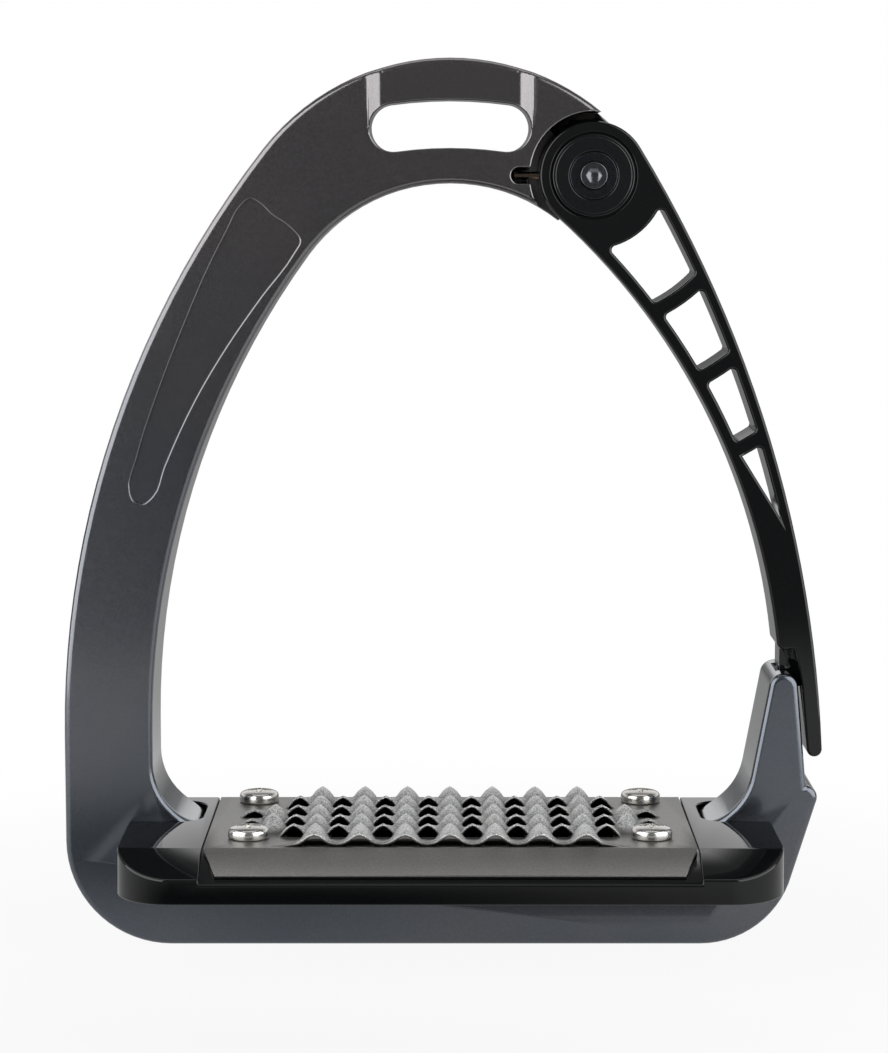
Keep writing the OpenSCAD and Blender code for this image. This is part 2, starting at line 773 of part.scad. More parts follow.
// The spring's middle line from its turning leg to its fixed leg.
// Each entry holds a point and the two directions of the wire's round section.
// Points are [across, up, depth] from the middle of the hinge.
function coil_at(a) = [coil_r * cos(a), coil_r * sin(a), coil_y0 + coil_pitch * a / 360];
turning_leg = [for (y = [leg_hole_y + 0.4, groove_y - 1, coil_y0 - leg_bend_r])
    [[coil_r, -leg_bend_r, y], [1, 0, 0], [0, -1, 0]]];
turning_bend = [for (p = [30, 60])
    [[coil_r, -leg_bend_r * cos(p), coil_y0 - leg_bend_r * (1 - sin(p))], [1, 0, 0], [0, -cos(p), sin(p)]]];
coil_steps = ceil(coil_end / 15);
coil_line = [for (i = [0 : coil_steps]) let (a = coil_end * i / coil_steps)
    [coil_at(a), [cos(a), sin(a), 0], [0, 0, 1]]];
out_dir = [cos(coil_end), sin(coil_end), 0];
along_dir = [-sin(coil_end), cos(coil_end), 0];
fixed_turn = 90 - leg_turn;
fixed_bend = [for (p = [fixed_turn / 3, fixed_turn * 2 / 3, fixed_turn])
    [coil_at(coil_end) + along_dir * leg_bend_r * sin(p) + out_dir * leg_bend_r * (1 - cos(p)),
        out_dir * cos(p) - along_dir * sin(p), [0, 0, 1]]];
fixed_leg = [for (x = [-leg_reach]) [[x, 0, coil_y1], fixed_bend[2][1], [0, 0, 1]]];
spring_line = concat(turning_leg, turning_bend, coil_line, fixed_bend, fixed_leg);
spring_sides = 6;
spring_gap = coil_pitch * cos(atan(coil_pitch / (2 * PI * coil_r))) - wire_d;
echo(least_gap_of_the_spring_to_itself_mm = spring_gap);

module torsion_spring() {
    n = len(spring_line);
    m = spring_sides;
    points = [for (s = spring_line, k = [0 : m - 1])
        let (q = s[0] + (s[1] * cos(360 * k / m) + s[2] * sin(360 * k / m)) * wire_d / 2)
        [hub[0] + q[0], q[2], hub[1] + q[1]]];
    walls = [for (i = [0 : n - 2], k = [0 : m - 1]) let (k2 = (k + 1) % m)
        each [[i * m + k, i * m + k2, (i + 1) * m + k2], [i * m + k, (i + 1) * m + k2, (i + 1) * m + k]]];
    start = [for (k = [1 : m - 2]) [0, k + 1, k]];
    end = [for (k = [1 : m - 2]) [(n - 1) * m, (n - 1) * m + k, (n - 1) * m + k + 1]];
    color("#b4b7ba")
        polyhedron(points, concat(walls, start, end));
}

// The tray's outline seen from above
module tray_plan(inset) {
    r = tray_corner_r - inset;
    x0 = tray_x0 + inset;
    x1 = tray_x1 - inset;
    y0 = -tray_front + inset;
    y1 = tray_back - inset;
    back_r = min(r, 3);
    difference() {
        union() {
            box([x0, y0 + r], [x1, y1]);
            box([x0 + r, y0], [x1 - r, y0 + r + 1]);
            for (x = [x0 + r, x1 - r])
                translate([x, y0 + r])
                    circle(r = r);
        }
        for (x = [x0, x1])
            difference() {
                box([x - back_r, y1 - back_r], [x + back_r, y1 + 1]);
                translate([x + (x < mid_x ? back_r : -back_r), y1 - back_r])
                    circle(r = back_r);
                box([x + (x < mid_x ? back_r : -3 * back_r), y1 - back_r - 1],
                    [x + (x < mid_x ? 3 * back_r : -back_r), y1 + 2]);
            }
    }
}

// The gap in the tray for one arm of the casting, seen from above
module arm_gap(x, far) {
    half = frame_depth / 2 + tray_gap;
    r = foot_end_r + tray_gap;
    dir = far < x ? -1 : 1;
    end = x - dir * tray_gap;
    box([min(end + dir * r, far), -half], [max(end + dir * r, far), half]);
    box([min(end, end + dir * (r + 1)), -half + r], [max(end, end + dir * (r + 1)), half - r]);
    for (y = [-half + r, half - r])
        translate([end + dir * r, y])
            circle(r = r);
}

module tread_base() {
    body = [[-tray_front, bar_h], [-tray_front, band_z], [-fold_front, tread_z], [fold_back, tread_z],
        [tray_back, band_z], [tray_back, bar_h]];
    drop = sheet_t / cos(front_dir);
    back_drop = sheet_t / cos(back_dir);
    seat = [[-tray_front - 5, band_z - drop - 5 * tan(front_dir)],
        [-fold_front + sheet_t * tan(front_dir / 2), deck_z],
        [fold_back - sheet_t * tan(back_dir / 2), deck_z],
        [tray_back + 5, band_z - back_drop - 5 * tan(back_dir)], [tray_back + 5, tread_z + 5],
        [-tray_front - 5, tread_z + 5]];
    color("#1b1d20")
        difference() {
            intersection() {
                translate([tray_x0 - 1, 0, 0])
                    rotate([90, 0, 90])
                        linear_extrude(tray_l + 2)
                            polygon(body);
                translate([0, 0, bar_h - 1])
                    linear_extrude(20)
                        tray_plan(0);
            }
            translate([plate_x0 - plate_gap, 0, 0])
                rotate([90, 0, 90])
                    linear_extrude(plate_l + 2 * plate_gap)
                        polygon(seat);
            translate([0, 0, bar_h - 1])
                linear_extrude(20) {
                    arm_gap(left_foot_x, tray_x0 - 5);
                    arm_gap(right_foot_x, tray_x1 + 5);
                }
            for (i = [-1, 0, 1])
                translate([mid_x + i * 25 - 11, -tray_front + 4 * tray_wall, bar_h - 1])
                    cube([22, tray_front - 4 * tray_wall - back_y - tray_wall, 1 + hollow_d]);
            for (at = tread_screw_at)
                post_at(at, insert_r, insert_z0, tread_z);
            for (at = base_screw_at)
                post_at(at, base_insert_r, bar_h - 1, base_insert_z1);
        }
}

// The tread plate is one pressed sheet, drawn as rows of points from front to back.
// A cut is two rows at the same depth: the sheet in front of it ends in the first,
// and the sheet behind it starts in the second. They are one row where the cut is closed.
// Light louvers open to the back and dark louvers open to the front, half a pitch apart.
row_count = 5;
half_cols = 30;
col_count = 2 * half_cols + 3;
function light_cut(r) = last_cut - r * row_pitch;
function dark_cut(r) = light_cut(r) + bridge_w;
front_cut = -fold_front + 1.3;
// Places of the two rows between the cuts. The first one lies just behind the heads of the front screws.
near_share = max(0.4, (tread_head_r + 0.1 - tread_screw_front - dark_cut(row_count - 1))
    / (row_pitch - bridge_w));
far_share = (1 + 2 * near_share) / 3 + 0.05;
// Height of a louver at a distance from its cut, as a share of the way to the next cut
function slope(t) = max(0, 1 - 1.44 * t * t);

// Rows of points, each with its depth, kind, row number and place in the sheet.
// Kinds: 0 plain, 1 front side of a cut, 2 back side of a cut.
// Places: 0 flat, 1 free front edge, 2 front middle, 3 light cut, 4 dark cut, 5 and 6 between them
function field_rows(r) =
    r == 0 ? [[light_cut(0), 1, 0, 3], [light_cut(0), 2, 0, 0]]
    : let (a = dark_cut(r), b = light_cut(r - 1))
    concat([[light_cut(r), 1, r, 3], [light_cut(r), 2, r, 0], [a, 1, r, 0], [a, 2, r, 4],
        [a + (b - a) * near_share, 0, r, 5], [a + (b - a) * far_share, 0, r, 6]], field_rows(r - 1));
plate_rows = concat(
    [[-fold_front - flange_cover * (tray_front - fold_front), 0, 0, 0], [-fold_front, 0, 0, 0],
        [front_cut, 1, 0, 0], [front_cut, 2, 0, 1], [(front_cut + light_cut(4)) / 2, 0, 4, 2]],
    field_rows(row_count - 1),
    [[fold_back, 0, 0, 0], [fold_back + 0.6 * (tray_back - fold_back), 0, 0, 0]]);
line_count = len(plate_rows);

function col_x(j) =
    j == 0 ? plate_x0 : j == col_count - 1 ? plate_x1 : mid_x + (j - 1 - half_cols) * louver_pitch / 6;
// Place of a column from the middle, in louver pitches
function col_at(j) = (j - 1 - half_cols) / 6;
function inner_col(j) = j > 0 && j < col_count - 1;
// Rise of a louver across its width, from one at its crest to none at its foot
function ridge(d) = d < 0.01 ? 1 : d < 0.2 ? 0.64 : 0;
function light_has(k, r) = abs(k) < 3.5 || (abs(k) < 4.5 && (r == 2 || r == 3));
function dark_has(k, r) = abs(k) < 4 || (abs(k) < 5 && (r == 2 || r == 3));
function light(j, r) =
    let (k = round(col_at(j))) inner_col(j) && light_has(k, r) ? ridge(abs(col_at(j) - k)) : 0;
function dark(j, r) =
    let (k = floor(col_at(j) + 0.001) + 0.5) inner_col(j) && dark_has(k, r) ? ridge(abs(col_at(j) - k)) : 0;
// The outer light louvers are shorter, which keeps them clear of the screw heads
function light_far(j) = abs(col_at(j)) > 3.6 ? 0 : slope(1 - near_share);
function lift(j) = inner_col(j) ? min(1, max(0, (3.84 - abs(col_at(j))) / 0.34)) : 0;
function rise(l, j) =
    let (row = plate_rows[l], r = row[2], place = row[3])
    place == 1 ? front_lift * lift(j) + 0.47 * louver_h * light(j, row_count - 1)
    : place == 2 ? 0.5 * front_lift * lift(j) + 0.84 * louver_h * light(j, row_count - 1)
    : place == 3 ? louver_h * light(j, r)
    : place == 4 ? louver_h * dark(j, r)
    : place == 5 ? louver_h * max(slope(near_share) * dark(j, r), light_far(j) * light(j, r - 1))
    : place == 6 ? louver_h * max(slope(far_share) * dark(j, r), slope(1 - far_share) * light(j, r - 1))
    : 0;
// A cut is open where the sheet rises on either side of it
function cut_first(l) = plate_rows[l][1] == 2 ? l - 1 : l;
function is_open(l, j) =
    plate_rows[l][1] > 0 && max(rise(cut_first(l), j), rise(cut_first(l) + 1, j)) > 0.001;
function cut_shift(l, j) = is_open(l, j) ? (plate_rows[l][1] == 1 ? -cut_w / 2 : cut_w / 2) : 0;
function edge_taper(l, j) =
    l > 0 ? 0 : j == 0 ? flange_taper : j == col_count - 1 ? -flange_taper : 0;
function line_z(l) =
    l == 0 ? tread_z - flange_cover * (tread_z - band_z)
    : l == line_count - 1 ? tread_z - 0.6 * (tread_z - band_z) : tread_z;
// Step from the upper face of the sheet to its lower face
function under(l) =
    l == 0 ? [sheet_t * sin(front_dir), -sheet_t * cos(front_dir)]
    : l == 1 ? [sheet_t * tan(front_dir / 2), -sheet_t]
    : l == line_count - 2 ? [-sheet_t * tan(back_dir / 2), -sheet_t]
    : l == line_count - 1 ? [-sheet_t * sin(back_dir), -sheet_t * cos(back_dir)]
    : [0, -sheet_t];
function upper_point(l, j) =
    [col_x(j) + edge_taper(l, j), plate_rows[l][0] + cut_shift(l, j), line_z(l) + rise(l, j)];
function lower_point(l, j) = upper_point(l, j) + [0, under(l)[0], under(l)[1]];

// Numbers of the points, where a closed cut uses those of its first row
function own_line(l, j) = plate_rows[l][1] == 2 && !is_open(l, j) ? l - 1 : l;
function up(l, j) = own_line(l, j) * col_count + j;
function down(l, j) = (line_count + own_line(l, j)) * col_count + j;
function quad(a, b, c, d) = [[a, b, c], [a, c, d]];

module tread_plate() {
    last = line_count - 1;
    side = col_count - 1;
    points = concat(
        [for (l = [0 : last], j = [0 : side]) upper_point(l, j)],
        [for (l = [0 : last], j = [0 : side]) lower_point(l, j)]);
    sheet = [for (l = [0 : last - 1]) if (plate_rows[l][1] != 1)
        for (j = [0 : side - 1])
            each concat(quad(up(l, j), up(l + 1, j), up(l + 1, j + 1), up(l, j + 1)),
                quad(down(l, j), down(l, j + 1), down(l + 1, j + 1), down(l + 1, j)))];
    cuts = [for (l = [0 : last - 1]) if (plate_rows[l][1] == 1)
        for (j = [0 : side - 1]) if (is_open(l, j) || is_open(l, j + 1))
            each concat(quad(up(l, j + 1), up(l, j), down(l, j), down(l, j + 1)),
                quad(up(l + 1, j), up(l + 1, j + 1), down(l + 1, j + 1), down(l + 1, j)))];
    ends = [for (j = [0 : side - 1])
        each concat(quad(up(0, j), up(0, j + 1), down(0, j + 1), down(0, j)),
            quad(up(last, j + 1), up(last, j), down(last, j), down(last, j + 1)))];
    flanks = [for (l = [0 : last - 1]) if (plate_rows[l][1] != 1)
        each concat(quad(up(l + 1, 0), up(l, 0), down(l, 0), down(l + 1, 0)),
            quad(up(l, side), up(l + 1, side), down(l + 1, side), down(l, side)))];
    color("#8f8d88")
        difference() {
            polyhedron(points, concat(sheet, cuts, ends, flanks));
            for (at = tread_screw_at)
                post_at(at, tread_screw_r + hole_clear, deck_z - 1, tread_z + 1);
        }
}

module tread_screws() {
    edge = tread_head_h * 0.55;
    drop = tread_head_h - edge;
    dome_r = (pow(tread_head_r, 2) + pow(drop, 2)) / (2 * drop);
    color("#c9ccce")
        for (at = tread_screw_at)
            translate([at[0], at[1], tread_z])
                difference() {
                    union() {
                        intersection() {
                            cylinder(r = tread_head_r, h = tread_head_h + 1);
                            translate([0, 0, tread_head_h - dome_r])
                                sphere(r = dome_r);
                        }
                        translate([0, 0, -tread_screw_l])
                            cylinder(r = tread_screw_r, h = tread_screw_l + 0.5);
                    }
                    for (a = [45, 135])
                        rotate([0, 0, a])
                            translate([-2.1, -0.45, tread_head_h - 1.5])
                                cube([4.2, 0.9, 3]);
                }
}

module tread_inserts() {
    color("#b9904a")
        for (at = tread_screw_at)
            difference() {
                post_at(at, insert_r, insert_z0, deck_z - loose);
                post_at(at, tread_screw_r + thread_gap, insert_z0 - 1, tread_z);
            }
}

module base_screws() {
    color("#5a5d61")
        for (at = base_screw_at)
            difference() {
                union() {
                    post_at(at, base_head_r, base_head_z, base_head_z + base_head_h);
                    post_at(at, base_screw_r, base_head_z + base_head_h - 1, base_insert_z1 - 0.6);
                }
                translate([at[0], at[1], base_head_z - 1])
                    linear_extrude(3.5)
                        hex(4);
            }
}

module base_inserts() {
    color("#b9904a")
        for (at = base_screw_at)
            difference() {
                post_at(at, base_insert_r, bar_h + loose, base_insert_z1);
                post_at(at, base_screw_r + thread_gap, bar_h - 1, base_insert_z1 + 1);
            }
}

frame();
release_arm();
arm_bush();
pivot_barrel();
pivot_screw();
hub_cap();
screw_washer();
front_washer();
rear_washer();
torsion_spring();
tread_base();
tread_plate();
tread_screws();
tread_inserts();
base_screws();
base_inserts();
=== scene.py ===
import json
import math

import bmesh
import bpy
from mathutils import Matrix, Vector


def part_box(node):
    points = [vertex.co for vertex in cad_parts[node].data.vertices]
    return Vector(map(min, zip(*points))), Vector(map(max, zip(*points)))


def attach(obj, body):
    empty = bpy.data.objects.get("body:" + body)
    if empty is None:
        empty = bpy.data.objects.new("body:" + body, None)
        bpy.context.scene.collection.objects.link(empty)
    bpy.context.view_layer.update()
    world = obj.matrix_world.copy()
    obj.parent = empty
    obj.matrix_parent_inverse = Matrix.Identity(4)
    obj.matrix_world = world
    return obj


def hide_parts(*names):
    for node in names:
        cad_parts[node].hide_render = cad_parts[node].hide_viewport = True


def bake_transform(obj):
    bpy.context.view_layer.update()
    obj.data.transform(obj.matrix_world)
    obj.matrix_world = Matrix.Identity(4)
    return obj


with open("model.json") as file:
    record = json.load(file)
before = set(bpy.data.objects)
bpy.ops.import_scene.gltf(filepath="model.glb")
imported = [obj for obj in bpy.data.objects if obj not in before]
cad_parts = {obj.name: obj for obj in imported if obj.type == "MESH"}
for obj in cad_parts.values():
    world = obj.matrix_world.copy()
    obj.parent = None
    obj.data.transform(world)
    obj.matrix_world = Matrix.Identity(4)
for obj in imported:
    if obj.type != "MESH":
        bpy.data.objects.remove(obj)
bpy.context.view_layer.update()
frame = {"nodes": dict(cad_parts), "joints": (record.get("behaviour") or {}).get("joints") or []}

MM = 0.001
X, Y, Z = 0, 1, 2


def in_mm(metres):
    """A place in millimetres, to a hundredth."""
    return round(metres / MM, 2)


def reach(node, axis):
    """A node's lowest and highest place along one axis, in millimetres."""
    low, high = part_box(node)
    return in_mm(low[axis]), in_mm(high[axis])


# Places that the solids and their joint give, in millimetres
hinge_place = frame["joints"][0]["pos_m"]
HINGE_X, HINGE_Z = in_mm(hinge_place[X]), in_mm(hinge_place[Z])
BACK_Y = reach("frame", Y)[1]
MIDDLE_X = sum(reach("tread_plate", X)) / 2
BAR_TOP_Z = reach("tread_base", Z)[0]
ARM_FRONT_Y, ARM_BACK_Y = reach("release_arm", Y)
SHANK_END_Z, HEAD_TOP_Z = reach("tread_screws", Z)

# The bar above the slot, with the recess in it and the S-shaped shoulders beside the recess
SLOT_TOP_Z = 169.5
RECESS_Z, RECESS_HALF, RECESS_DEPTH, RECESS_RUN = 161.23, 13.0, 2.0, 3.0
SHOULDER_RUN, SHOULDER_REACH, SHOULDER_FADE, SHOULDER_STEPS = 4.2, 1.5, 2.0, 12

# Places by which the edges of the casting are told apart
BAR_HALF, BAR_FOOT_Z = 17.0, 156.0
PANEL_MOST_DEPTH = 1.0
BORE_R, POCKET_R = 7.0, 12.4
NOTCH_HALF, NOTCH_START_X, NOTCH_END_X = 1.7, 12.0, 18.0
FILLET_TOP_Z, ACROSS_MM = 37.0, 12.0
SLOT_STEP_LEAST, SLOT_STEP_MOST = 0.1, 0.4
# How much a face looks to the front or back to count as turned there, or as leaning there
TURNED, LEANING = 0.5, 0.05
# Heights between which the casting's colour goes from blue to brown
BLUE_BELOW_Z, BROWN_ABOVE_Z = 40.0, 170.0

# Roundings of the edges and the number of steps round each
FRAME_EDGE_MM, FRAME_EDGE_STEPS = 1.2, 5
ARM_EDGE_MM, ARM_EDGE_STEPS = 0.55, 4
TRAY_EDGE_MM, SMALL_EDGE_STEPS = 0.35, 3
# Shares of a full rounding: small trim, the hinge's bore, inner edges, and the inner edges of the arm
TRIM_SHARE, BORE_SHARE, INNER_SHARE, ARM_INNER_SHARE = 0.3, 0.15, 0.2, 0.4
ARM_BORE_R = 9.0
CORNER_DEGREES = 28

# The tread plate: its sheet and its louvers, with the shares of a full rise that some of them have
PLATE_TOP_Z, SHEET_MM = 25.0, 0.9
LOUVER_RISE = reach("tread_plate", Z)[1] - PLATE_TOP_Z
LOUVER_PITCH, OUTER_COLUMN = 8.65, 4.1
FRONT_LOUVER, END_LOUVER = 0.82, 0.5
CREST_SWELL, CREST_THINNING = 0.8, 0.55
FLAT_SHARE, FLAT_NORMAL, CUT_DEGREES = 0.02, 0.9999, 50
# Heights above the plate between which its grit sets in, and from which its crests are painted paler: a
# painted highlight on the crests, with painted shade lower down between the rows
GRIT_START, GRIT_FULL, CREST_START = 0.1, 0.9, 1.0

# The tread screws: their places, and outlines as radius and height above the plate
SCREW_OFF_MIDDLE, SCREW_FRONT_Y, SCREW_BACK_Y = 38.9, -25.2, 9.5
SCREW_PLACES = [(MIDDLE_X + side * SCREW_OFF_MIDDLE, y)
                for side in (-1, 1) for y in (SCREW_FRONT_Y, SCREW_BACK_Y)]
SHANK_R = 1.95
HEAD_RIM = [(3.75, 0), (3.95, 0.2), (4.0, 0.6), (4.0, 1.15), (3.92, 1.55), (3.76, 1.85), (3.5, 2.04)]
HEAD_DOME_R, HEAD_RINGS = 13.0, (3.2, 2.5, 1.7, 0.9, 0)
HEAD_STEPS = 64
CROSS_L, CROSS_W, CROSS_H, CROSS_FLOOR_Z = 4.3, 0.9, 4.0, 26.1

# The spring's wire, and the depth of its coil in front of the fixed leg
WIRE_MM, COIL_MM = 1.5, 4.07

# Points closer than these are one point, on one level or on one face
CUT_MM, ROUNDED_MERGE_MM, MERGE_MM = 0.001, 0.002, 0.02
LEVEL_MM, TOUCH_MM = 0.05, 0.01

# A Mix node's sockets share their names, so they are told apart by their places
FACTOR = 0
NUMBER_A, NUMBER_B, NUMBER_OUT = 2, 3, 0
COLOUR_A, COLOUR_B, COLOUR_OUT = 6, 7, 2
# Most of a noise pattern lies between these levels
NOISE_SPAN = {"From Min": 0.3, "From Max": 0.7}


def linear(code):
    """An sRGB hex colour as linear red, green, blue and alpha."""
    parts = [int(code[i:i + 2], 16) / 255 for i in (1, 3, 5)]
    return [c / 12.92 if c <= 0.04045 else ((c + 0.055) / 1.055) ** 2.4 for c in parts] + [1.0]


def per_metre(size_mm):
    """The scale at which a pattern repeats once in a real size."""
    return 1 / (size_mm * MM)


def add(tree, kind, sockets=None, **settings):
    """Adds a node. A socket takes a plain value or another node's output."""
    node = tree.nodes.new(kind)
    for name, value in settings.items():
        setattr(node, name, value)
    for name, value in (sockets or {}).items():
        if isinstance(value, bpy.types.NodeSocket):
            tree.links.new(value, node.inputs[name])
        else:
            node.inputs[name].default_value = value
    return node


def new_material(name):
    """An empty material, its node tree and its Object coordinates."""
    material = bpy.data.materials.new(name)
    material.use_nodes = True
    tree = material.node_tree
    tree.nodes.clear()
    place = add(tree, "ShaderNodeTexCoord").outputs["Object"]
    return material, tree, place


def close_material(tree, shader):
    """Sends a shader to the material's output."""
    add(tree, "ShaderNodeOutputMaterial", {"Surface": shader})


# Gunmetal pearl lacquer on cast aluminium: metal flake under a clear coat, with a very fine grain,
# bluish below and a little browner towards the arch
def make_gunmetal_coat():
    material, tree, place = new_material("gunmetal_lacquer_on_cast_aluminium")
    # The flake is finer than a pixel, so it is drawn at 0.35 mm
    flake = add(tree, "ShaderNodeTexNoise", {"Vector": place, "Scale": per_metre(0.35), "Detail": 2.0})
    patch = add(tree, "ShaderNodeTexNoise", {"Vector": place, "Scale": per_metre(45), "Detail": 2.0})
    height = add(tree, "ShaderNodeSeparateXYZ", {"Vector": place}).outputs["Z"]
    upper = add(tree, "ShaderNodeMapRange", {
        "Value": height, "From Min": BLUE_BELOW_Z * MM, "From Max": BROWN_ABOVE_Z * MM,
        "To Min": -0.3, "To Max": 0.5})
    brown = add(tree, "ShaderNodeMath", {0: patch.outputs["Fac"], 1: upper.outputs["Result"]},
                operation="ADD", use_clamp=True)
    tint = add(tree, "ShaderNodeMix", {
        FACTOR: brown.outputs["Value"], COLOUR_A: linear("#515963"), COLOUR_B: linear("#716e6f")},
        data_type="RGBA")
    glint = add(tree, "ShaderNodeMapRange", {
        "Value": flake.outputs["Fac"], **NOISE_SPAN, "To Min": 0.9, "To Max": 1.1})
    pearl = add(tree, "ShaderNodeVectorMath", {
        0: tint.outputs[COLOUR_OUT], "Scale": glint.outputs["Result"]}, operation="SCALE")
    spread = add(tree, "ShaderNodeMapRange", {
        "Value": flake.outputs["Fac"], **NOISE_SPAN, "To Min": 0.23, "To Max": 0.27})
    grain = add(tree, "ShaderNodeBump", {
        "Height": flake.outputs["Fac"], "Strength": 0.2, "Distance": 0.02 * MM})
    shader = add(tree, "ShaderNodeBsdfPrincipled", {
        "Base Color": pearl.outputs["Vector"], "Metallic": 1.0, "Roughness": spread.outputs["Result"],
        "Normal": grain.outputs["Normal"], "Coat Weight": 1.0, "Coat Roughness": 0.08, "Coat IOR": 1.5})
    close_material(tree, shader.outputs["BSDF"])
    return material


# Glass-filled nylon with a polished mould face: near black, mirror gloss with a slow waviness
def make_gloss_nylon():
    material, tree, place = new_material("gloss_black_moulded_nylon")
    sink = add(tree, "ShaderNodeTexNoise", {"Vector": place, "Scale": per_metre(9), "Detail": 1.0})
    dust = add(tree, "ShaderNodeTexNoise", {"Vector": place, "Scale": per_metre(0.8), "Detail": 4.0})
    black = add(tree, "ShaderNodeMix", {
        FACTOR: dust.outputs["Fac"], COLOUR_A: linear("#060708"), COLOUR_B: linear("#0b0c0d")},
        data_type="RGBA")
    gloss = add(tree, "ShaderNodeMapRange", {
        "Value": dust.outputs["Fac"], "From Min": 0.3, "From Max": 0.75, "To Min": 0.04, "To Max": 0.08})
    wave = add(tree, "ShaderNodeBump", {
        "Height": sink.outputs["Fac"], "Strength": 0.4, "Distance": 0.02 * MM})
    shader = add(tree, "ShaderNodeBsdfPrincipled", {
        "Base Color": black.outputs[COLOUR_OUT], "Roughness": gloss.outputs["Result"], "IOR": 1.46,
        "Normal": wave.outputs["Normal"]})
    close_material(tree, shader.outputs["BSDF"])
    return material


# Stainless steel sheet: satin rolled face, and a coarse blasted grit on the pressed-up louvers, painted
# darker low down as painted shade and paler towards the crests as a painted highlight
def make_tread_steel():
    material, tree, place = new_material("satin_stainless_sheet")
    rolled = add(tree, "ShaderNodeTexNoise", {"Vector": place, "Scale": per_metre(0.35), "Detail": 2.0})
    grit = add(tree, "ShaderNodeTexNoise", {"Vector": place, "Scale": per_metre(0.28), "Detail": 1.0})
    height = add(tree, "ShaderNodeSeparateXYZ", {"Vector": place}).outputs["Z"]
    raised = add(tree, "ShaderNodeMapRange", {
        "Value": height, "From Min": (PLATE_TOP_Z + GRIT_START) * MM,
        "From Max": (PLATE_TOP_Z + GRIT_FULL) * MM})
    texture = add(tree, "ShaderNodeMix", {
        FACTOR: raised.outputs["Result"], NUMBER_A: rolled.outputs["Fac"], NUMBER_B: grit.outputs["Fac"]},
        data_type="FLOAT")
    worn = add(tree, "ShaderNodeMapRange", {"Value": texture.outputs[NUMBER_OUT], **NOISE_SPAN})
    flat_tone = add(tree, "ShaderNodeMix", {
        FACTOR: worn.outputs["Result"], COLOUR_A: linear("#868583"), COLOUR_B: linear("#959492")},
        data_type="RGBA")
    speck = add(tree, "ShaderNodeMix", {
        FACTOR: worn.outputs["Result"], COLOUR_A: linear("#838587"), COLOUR_B: linear("#dededc")},
        data_type="RGBA")
    # Painted light: the grit's tone is scaled by height, darker low on the louvers where shade falls
    # between the rows, and paler at the crests as a painted highlight
    crest = add(tree, "ShaderNodeMapRange", {
        "Value": height, "From Min": (PLATE_TOP_Z + CREST_START) * MM,
        "From Max": (PLATE_TOP_Z + LOUVER_RISE) * MM, "To Min": 0.7, "To Max": 1.5})
    grit_and_painted_light = add(tree, "ShaderNodeVectorMath", {
        0: speck.outputs[COLOUR_OUT], "Scale": crest.outputs["Result"]}, operation="SCALE")
    tone = add(tree, "ShaderNodeMix", {
        FACTOR: raised.outputs["Result"], COLOUR_A: flat_tone.outputs[COLOUR_OUT],
        COLOUR_B: grit_and_painted_light.outputs["Vector"]}, data_type="RGBA")
    satin = add(tree, "ShaderNodeMapRange", {
        "Value": raised.outputs["Result"], "To Min": 0.42, "To Max": 0.5})
    bite = add(tree, "ShaderNodeMapRange", {
        "Value": raised.outputs["Result"], "To Min": 0.08, "To Max": 0.9})
    tooth = add(tree, "ShaderNodeBump", {
        "Height": texture.outputs[NUMBER_OUT], "Strength": bite.outputs["Result"], "Distance": 0.1 * MM})
    shader = add(tree, "ShaderNodeBsdfPrincipled", {
        "Base Color": tone.outputs[COLOUR_OUT], "Metallic": 1.0, "Roughness": satin.outputs["Result"],
        "Normal": tooth.outputs["Normal"]})
    close_material(tree, shader.outputs["BSDF"])
    return material


# A plain turned or drawn metal: fine tool marks in its colour and its gloss
def make_metal(name, low, high, dull, bright, mark_mm):
    material, tree, place = new_material(name)
    marks = add(tree, "ShaderNodeTexNoise", {"Vector": place, "Scale": per_metre(mark_mm), "Detail": 3.0})
    tone = add(tree, "ShaderNodeMix", {
        FACTOR: marks.outputs["Fac"], COLOUR_A: linear(low), COLOUR_B: linear(high)}, data_type="RGBA")
    gloss = add(tree, "ShaderNodeMapRange", {
        "Value": marks.outputs["Fac"], **NOISE_SPAN, "To Min": bright, "To Max": dull})
    relief = add(tree, "ShaderNodeBump", {
        "Height": marks.outputs["Fac"], "Strength": 0.2, "Distance": 0.03 * MM})
    shader = add(tree, "ShaderNodeBsdfPrincipled", {
        "Base Color": tone.outputs[COLOUR_OUT], "Metallic": 1.0, "Roughness": gloss.outputs["Result"],
        "Normal": relief.outputs["Normal"]})
    close_material(tree, shader.outputs["BSDF"])
    return material


